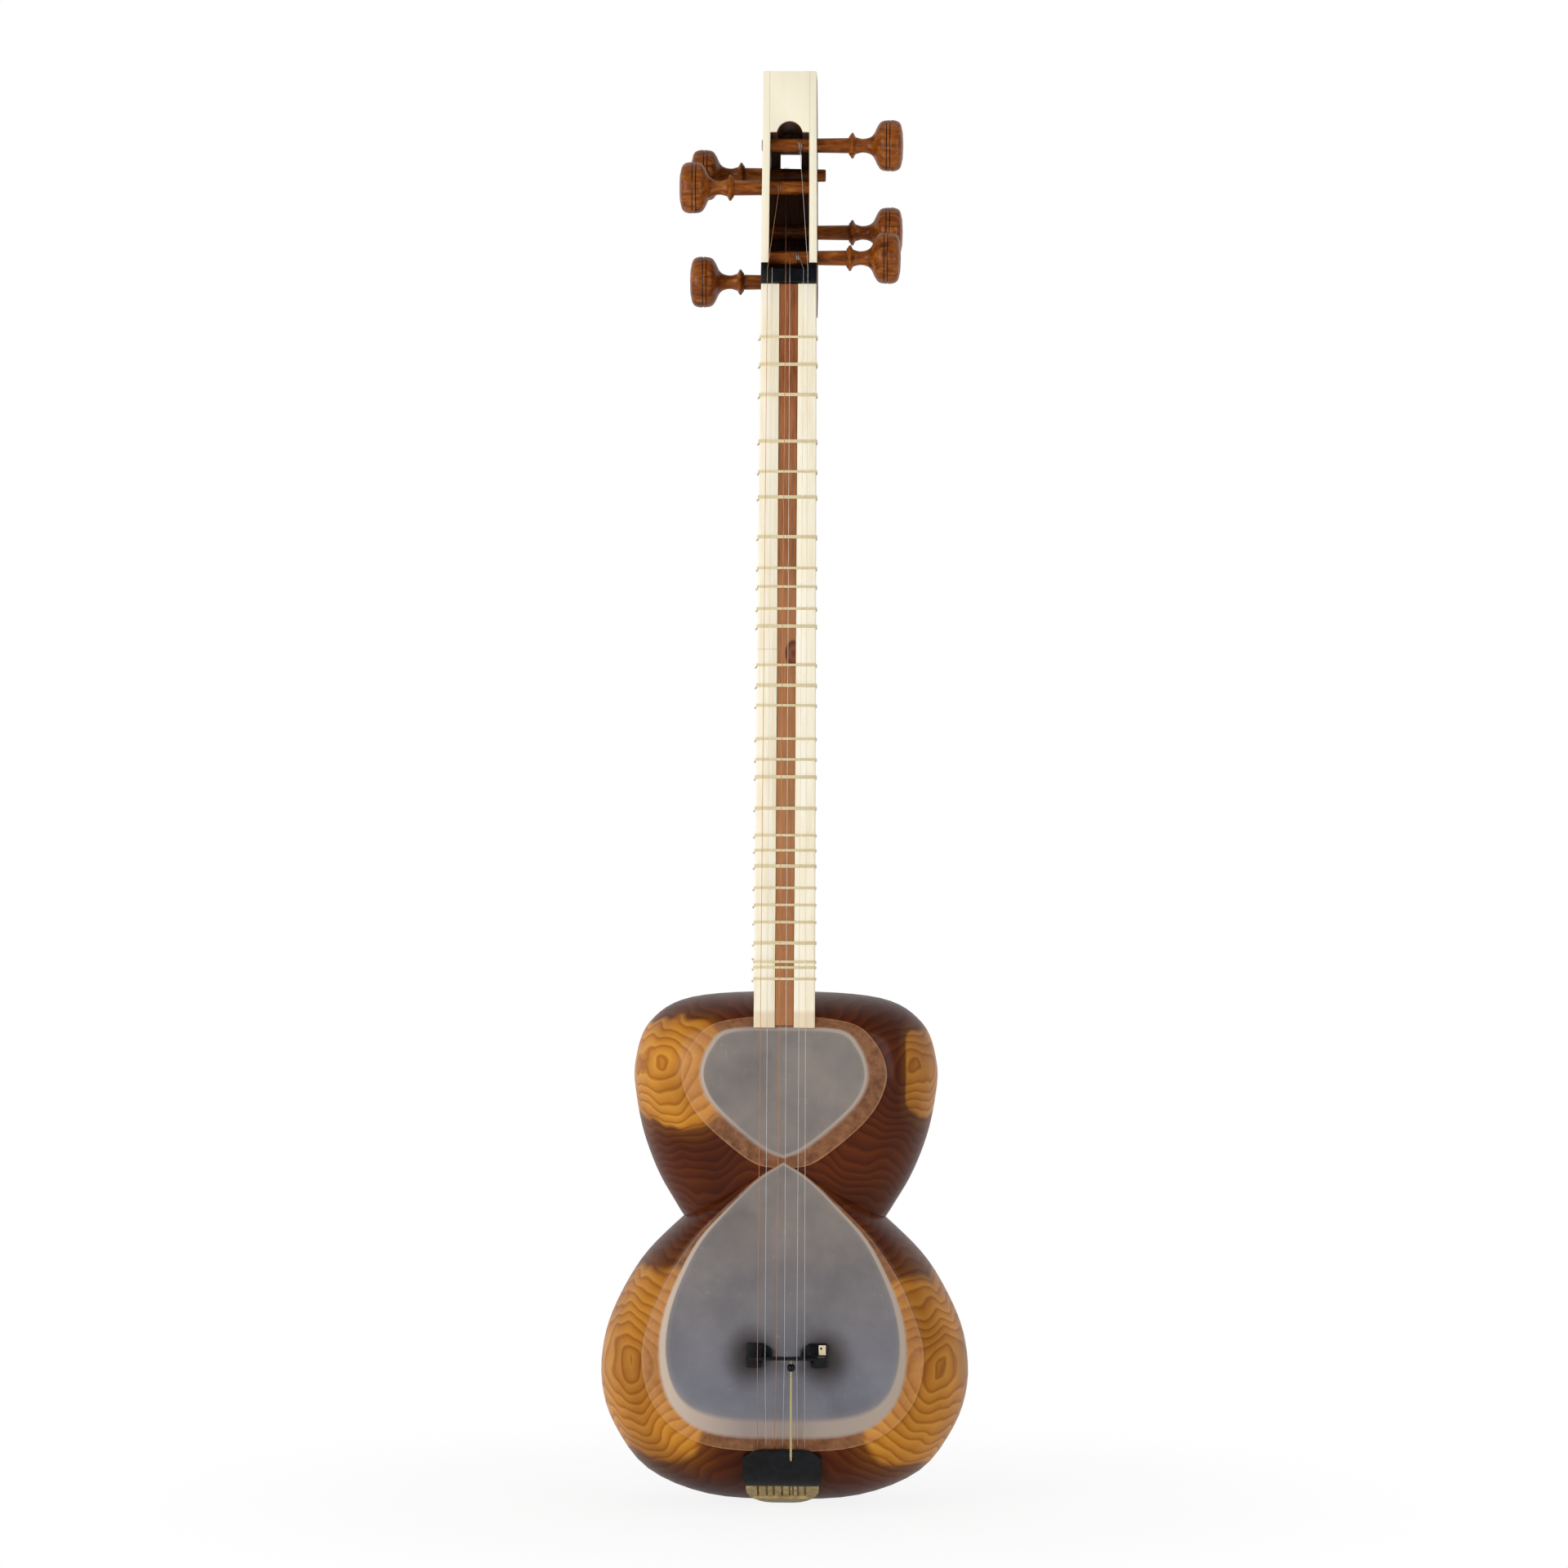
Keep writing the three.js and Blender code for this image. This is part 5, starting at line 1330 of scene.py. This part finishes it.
class TarTail(bpy.types.Operator):
    """The hand rest over the strings, and the tailpiece"""
    bl_idname = "tar.tail"
    bl_label = "Tail"

    def execute(self, context):
        sizes = context.scene.tar_sizes
        pad = eased_copy("tail_pad", "hand_rest", sizes.rest_edge, 3)
        fit(pad, finish_for("horn"), "frame", "horn", "tail_pad")
        tail = eased_copy("tailpiece", "horn_tailpiece", sizes.tail_edge)
        fit(tail, finish_for("paleHorn"), "frame", "paleHorn", "tailpiece")
        return {"FINISHED"}


# Stage, in metres

FLOOR_SIZE = 12
FLOOR_DROP = 0.0005
# Lamps: place, then width and height
KEY_LAMP = ((-2.7, -2.9, 1.2), (2.2, 2.4))
FILL_LAMP = ((2.5, -2.5, 0.95), (1.6, 2.4))
LAMP_AIM = (0, 0, 0.4)
# The camera sees the paper as pure white all over, but for a soft shadow that fades out between these
# distances from the middle.
SHADOW_REACH = (0.1, 0.5)


def soft_light(name, place, size, power):
    """A rectangular lamp that shines on the tar."""
    lamp = bpy.data.lights.new(name, "AREA")
    lamp.shape = "RECTANGLE"
    lamp.size, lamp.size_y = size
    lamp.energy = power
    holder = bpy.data.objects.new(name, lamp)
    bpy.context.scene.collection.objects.link(holder)
    holder.location = place
    holder.rotation_euler = (Vector(LAMP_AIM) - Vector(place)).to_track_quat("-Z", "Y").to_euler()


class TarStage(bpy.types.Operator):
    """White floor, soft lamps and the camera"""
    bl_idname = "tar.stage"
    bl_label = "Stage"

    def execute(self, context):
        stage = context.scene.tar_stage
        bpy.ops.mesh.primitive_plane_add(size=FLOOR_SIZE, location=(0, 0, -FLOOR_DROP))
        floor = context.object
        floor.name = "floor"
        floor.data.materials.append(self.paper())
        self.light_room(context.scene, stage)
        soft_light("key lamp", *KEY_LAMP, stage.key_power)
        soft_light("fill lamp", *FILL_LAMP, stage.fill_power)
        self.place_camera(context.scene, stage)
        context.scene.view_settings.view_transform = "Standard"
        return {"FINISHED"}

    def light_room(self, scene, stage):
        """Even light from all round, darker from behind the camera. The camera sees it as white."""
        world = scene.world or bpy.data.worlds.new("studio")
        scene.world = world
        world.use_nodes = True
        tree = world.node_tree
        tree.nodes.clear()
        path = add_node(tree, "ShaderNodeLightPath")
        seen = add_node(tree, "ShaderNodeMath", {"operation": "MAXIMUM"}, {
            0: path.outputs["Is Camera Ray"], 1: path.outputs["Is Transmission Ray"],
        })
        way = add_node(tree, "ShaderNodeSeparateXYZ", None,
                       {"Vector": add_node(tree, "ShaderNodeTexCoord").outputs["Generated"]})
        room = add_node(tree, "ShaderNodeMapRange", {
            "From Min": -0.9, "From Max": 0.2, "To Min": stage.room, "To Max": stage.ambient,
        }, {"Value": way.outputs["Y"]})
        level = add_node(tree, "ShaderNodeMix", {3: 1.0}, {0: seen.outputs[0], 2: room.outputs[0]})
        sky = add_node(tree, "ShaderNodeBackground", {"Color": (1, 1, 1, 1)},
                       {"Strength": level.outputs[0]})
        add_node(tree, "ShaderNodeOutputWorld", None, {"Surface": sky.outputs[0]})

    def place_camera(self, scene, stage):
        """The photograph's viewpoint, nearly square on to the skins."""
        eye = bpy.data.cameras.new("camera")
        eye.lens = stage.lens
        eye.sensor_width = 36
        camera = bpy.data.objects.new("camera", eye)
        scene.collection.objects.link(camera)
        face = at(0, 0, 0).y
        target = Vector((stage.aim_across, face, stage.eye_height))
        way = Vector((math.sin(stage.azimuth), -math.cos(stage.azimuth), 0))
        camera.location = target + way * stage.distance
        aim = (-way).to_track_quat("-Z", "Y").to_matrix().to_4x4()
        roll = Matrix.Rotation(stage.roll, 4, "Z")
        camera.rotation_euler = (aim @ roll).to_euler()
        scene.camera = camera

    def paper(self):
        """White paper that shows as pure white to the camera and still keeps the shadow near the tar."""
        material = bpy.data.materials.new("white paper floor")
        material.use_nodes = True
        tree = material.node_tree
        shader = tree.nodes["Principled BSDF"]
        shader.inputs["Base Color"].default_value = (0.9, 0.9, 0.9, 1)
        shader.inputs["Roughness"].default_value = 0.9
        path = add_node(tree, "ShaderNodeLightPath")
        mirrored = add_node(tree, "ShaderNodeMath", {"operation": "MULTIPLY", 1: 0.5},
                            {0: path.outputs["Is Glossy Ray"]})
        clear = extreme_of(tree, [
            path.outputs["Is Camera Ray"], mirrored.outputs[0], path.outputs["Is Transmission Ray"],
        ], "MAXIMUM")
        place = add_node(tree, "ShaderNodeTexCoord").outputs["Object"]
        away = add_node(tree, "ShaderNodeVectorMath", {"operation": "LENGTH"}, {0: place})
        near, far = SHADOW_REACH
        share = add_node(tree, "ShaderNodeMapRange", {
            "interpolation_type": "SMOOTHSTEP", "From Min": near, "From Max": far, "To Min": 0.87,
        }, {"Value": away.outputs["Value"]})
        part = add_node(tree, "ShaderNodeMath", {"operation": "MULTIPLY"}, {0: clear, 1: share.outputs[0]})
        white = add_node(tree, "ShaderNodeEmission", {"Color": (1, 1, 1, 1), "Strength": 1.0})
        mix = add_node(tree, "ShaderNodeMixShader", None, {
            0: part.outputs[0], 1: shader.outputs[0], 2: white.outputs[0],
        })
        tree.links.new(mix.outputs[0], tree.nodes["Material Output"].inputs["Surface"])
        return material


def colour_property(name, colour, words):
    return bpy.props.FloatVectorProperty(name=name, description=words, subtype="COLOR", min=0, max=1,
                                         default=linear(colour)[:3])


def length_property(name, default, words):
    return bpy.props.FloatProperty(name=name, default=default * MM, min=0, unit="LENGTH", description=words)


class TarSizes(bpy.types.PropertyGroup):
    gut: length_property("Gut", 0.55, "Thickness of the gut that the frets are tied with")
    tether: length_property("Tether", 1.5, "Thickness of the cord that holds the bridge")
    wire_share: bpy.props.FloatProperty(name="Wire share", default=0.72, min=0.1, max=1, subtype="FACTOR",
                                        description="Thickness of the wires, as a share of the frame's")
    walnut_edge: length_property("Walnut edge", 0.5, "Rounding of the pegbox's edges")
    bone_edge: length_property("Bone edge", 0.3, "Rounding of the bone facings' edges")
    horn_edge: length_property("Horn edge", 0.3, "Rounding of the nut's and the bridge's edges")
    tail_edge: length_property("Tailpiece edge", 0.2, "Rounding of the tailpiece's edges")
    rest_edge: length_property("Hand rest edge", 0.6, "Rounding of the hand rest's edges")


class TarFinish(bpy.types.PropertyGroup):
    varnish: colour_property("Varnish", "#552305", "Mid brown of the bowls' varnished wood")
    varnish_dark: colour_property("Varnish dark", "#481903", "Dark streaks of the bowls' wood")
    varnish_light: colour_property("Varnish light", "#5f2a09", "Light streaks of the bowls' wood")
    amber: colour_property("Amber", "#c07a23", "Light heartwood that shows in the bowls")
    amber_ring: colour_property("Amber ring", "#a46019", "Dark edges of the heartwood's growth rings")
    film: colour_property("Film", "#8c827b", "Skin film over the open bowl")
    rim_film: colour_property("Rim film", "#998b84", "Skin film over the wooden rim")
    film_dark: colour_property("Film dark", "#6e6866", "Cloudy parts of the skin film")
    walnut: colour_property("Walnut", "#9d5e35", "Neck and its centre strip")
    bone: colour_property("Bone", "#fcf3dc", "Bone facings")
    horn: colour_property("Horn", "#060709", "Nut, bridge and hand rest")
    pale_horn: colour_property("Pale horn", "#d3bd88", "Tailpiece")
    pegs: colour_property("Pegs", "#874715", "Turned pegs")
    gut: colour_property("Gut", "#f6e9c3", "Tied frets")
    cord: colour_property("Cord", "#dccf9c", "Cord that holds the bridge")


class TarStageSettings(bpy.types.PropertyGroup):
    lens: bpy.props.FloatProperty(name="Lens", default=119.9, unit="CAMERA",
                                  description="Focal length in mm")
    distance: bpy.props.FloatProperty(name="Distance", default=3.39, unit="LENGTH",
                                      description="From the skins' plane to the camera")
    eye_height: bpy.props.FloatProperty(name="Eye height", default=0.4733, unit="LENGTH",
                                        description="Camera's height")
    aim_across: bpy.props.FloatProperty(name="Aim across", default=-0.001, unit="LENGTH",
                                        description="Where the camera aims, to the right of the middle")
    azimuth: bpy.props.FloatProperty(name="Azimuth", default=math.radians(1.2), subtype="ANGLE",
                                     description="How far the camera stands to the right")
    roll: bpy.props.FloatProperty(name="Roll", default=math.radians(0.3), subtype="ANGLE",
                                  description="Lean of the camera")
    key_power: bpy.props.FloatProperty(name="Key", default=88, unit="POWER",
                                       description="Power of the key lamp")
    fill_power: bpy.props.FloatProperty(name="Fill", default=35, unit="POWER",
                                        description="Power of the fill lamp")
    ambient: bpy.props.FloatProperty(name="Ambient", default=0.76, description="Light from round the tar")
    room: bpy.props.FloatProperty(name="Room", default=0.1, description="Light from behind the camera")


PIECES = (TarBowls, TarSkins, TarNeck, TarFrets, TarHead, TarPegs, TarStrings, TarBridge, TarTail, TarStage)


class TarPanel(bpy.types.Panel):
    """The tar's pieces and finishes"""
    bl_idname = "VIEW3D_PT_tar"
    bl_label = "Tar"
    bl_space_type = "VIEW_3D"
    bl_region_type = "UI"
    bl_category = "Tar"

    def draw(self, context):
        for piece in PIECES:
            self.layout.operator(piece.bl_idname)
        for group in (context.scene.tar_sizes, context.scene.tar_finish, context.scene.tar_stage):
            for name in group.bl_rna.properties.keys():
                if name not in ("rna_type", "name"):
                    self.layout.prop(group, name)


CLASSES = (TarSizes, TarFinish, TarStageSettings, *PIECES, TarPanel)


def register():
    for kind in CLASSES:
        bpy.utils.register_class(kind)
    bpy.types.Scene.tar_sizes = bpy.props.PointerProperty(type=TarSizes)
    bpy.types.Scene.tar_finish = bpy.props.PointerProperty(type=TarFinish)
    bpy.types.Scene.tar_stage = bpy.props.PointerProperty(type=TarStageSettings)


def unregister():
    del bpy.types.Scene.tar_sizes
    del bpy.types.Scene.tar_finish
    del bpy.types.Scene.tar_stage
    for kind in reversed(CLASSES):
        bpy.utils.unregister_class(kind)


def main():
    register()
    bpy.ops.tar.stage()
    bpy.ops.tar.bowls()
    bpy.ops.tar.skins()
    bpy.ops.tar.neck()
    bpy.ops.tar.frets()
    bpy.ops.tar.head()
    bpy.ops.tar.pegs()
    bpy.ops.tar.strings()
    bpy.ops.tar.bridge()
    bpy.ops.tar.tail()


if __name__ == "__main__":
    main()
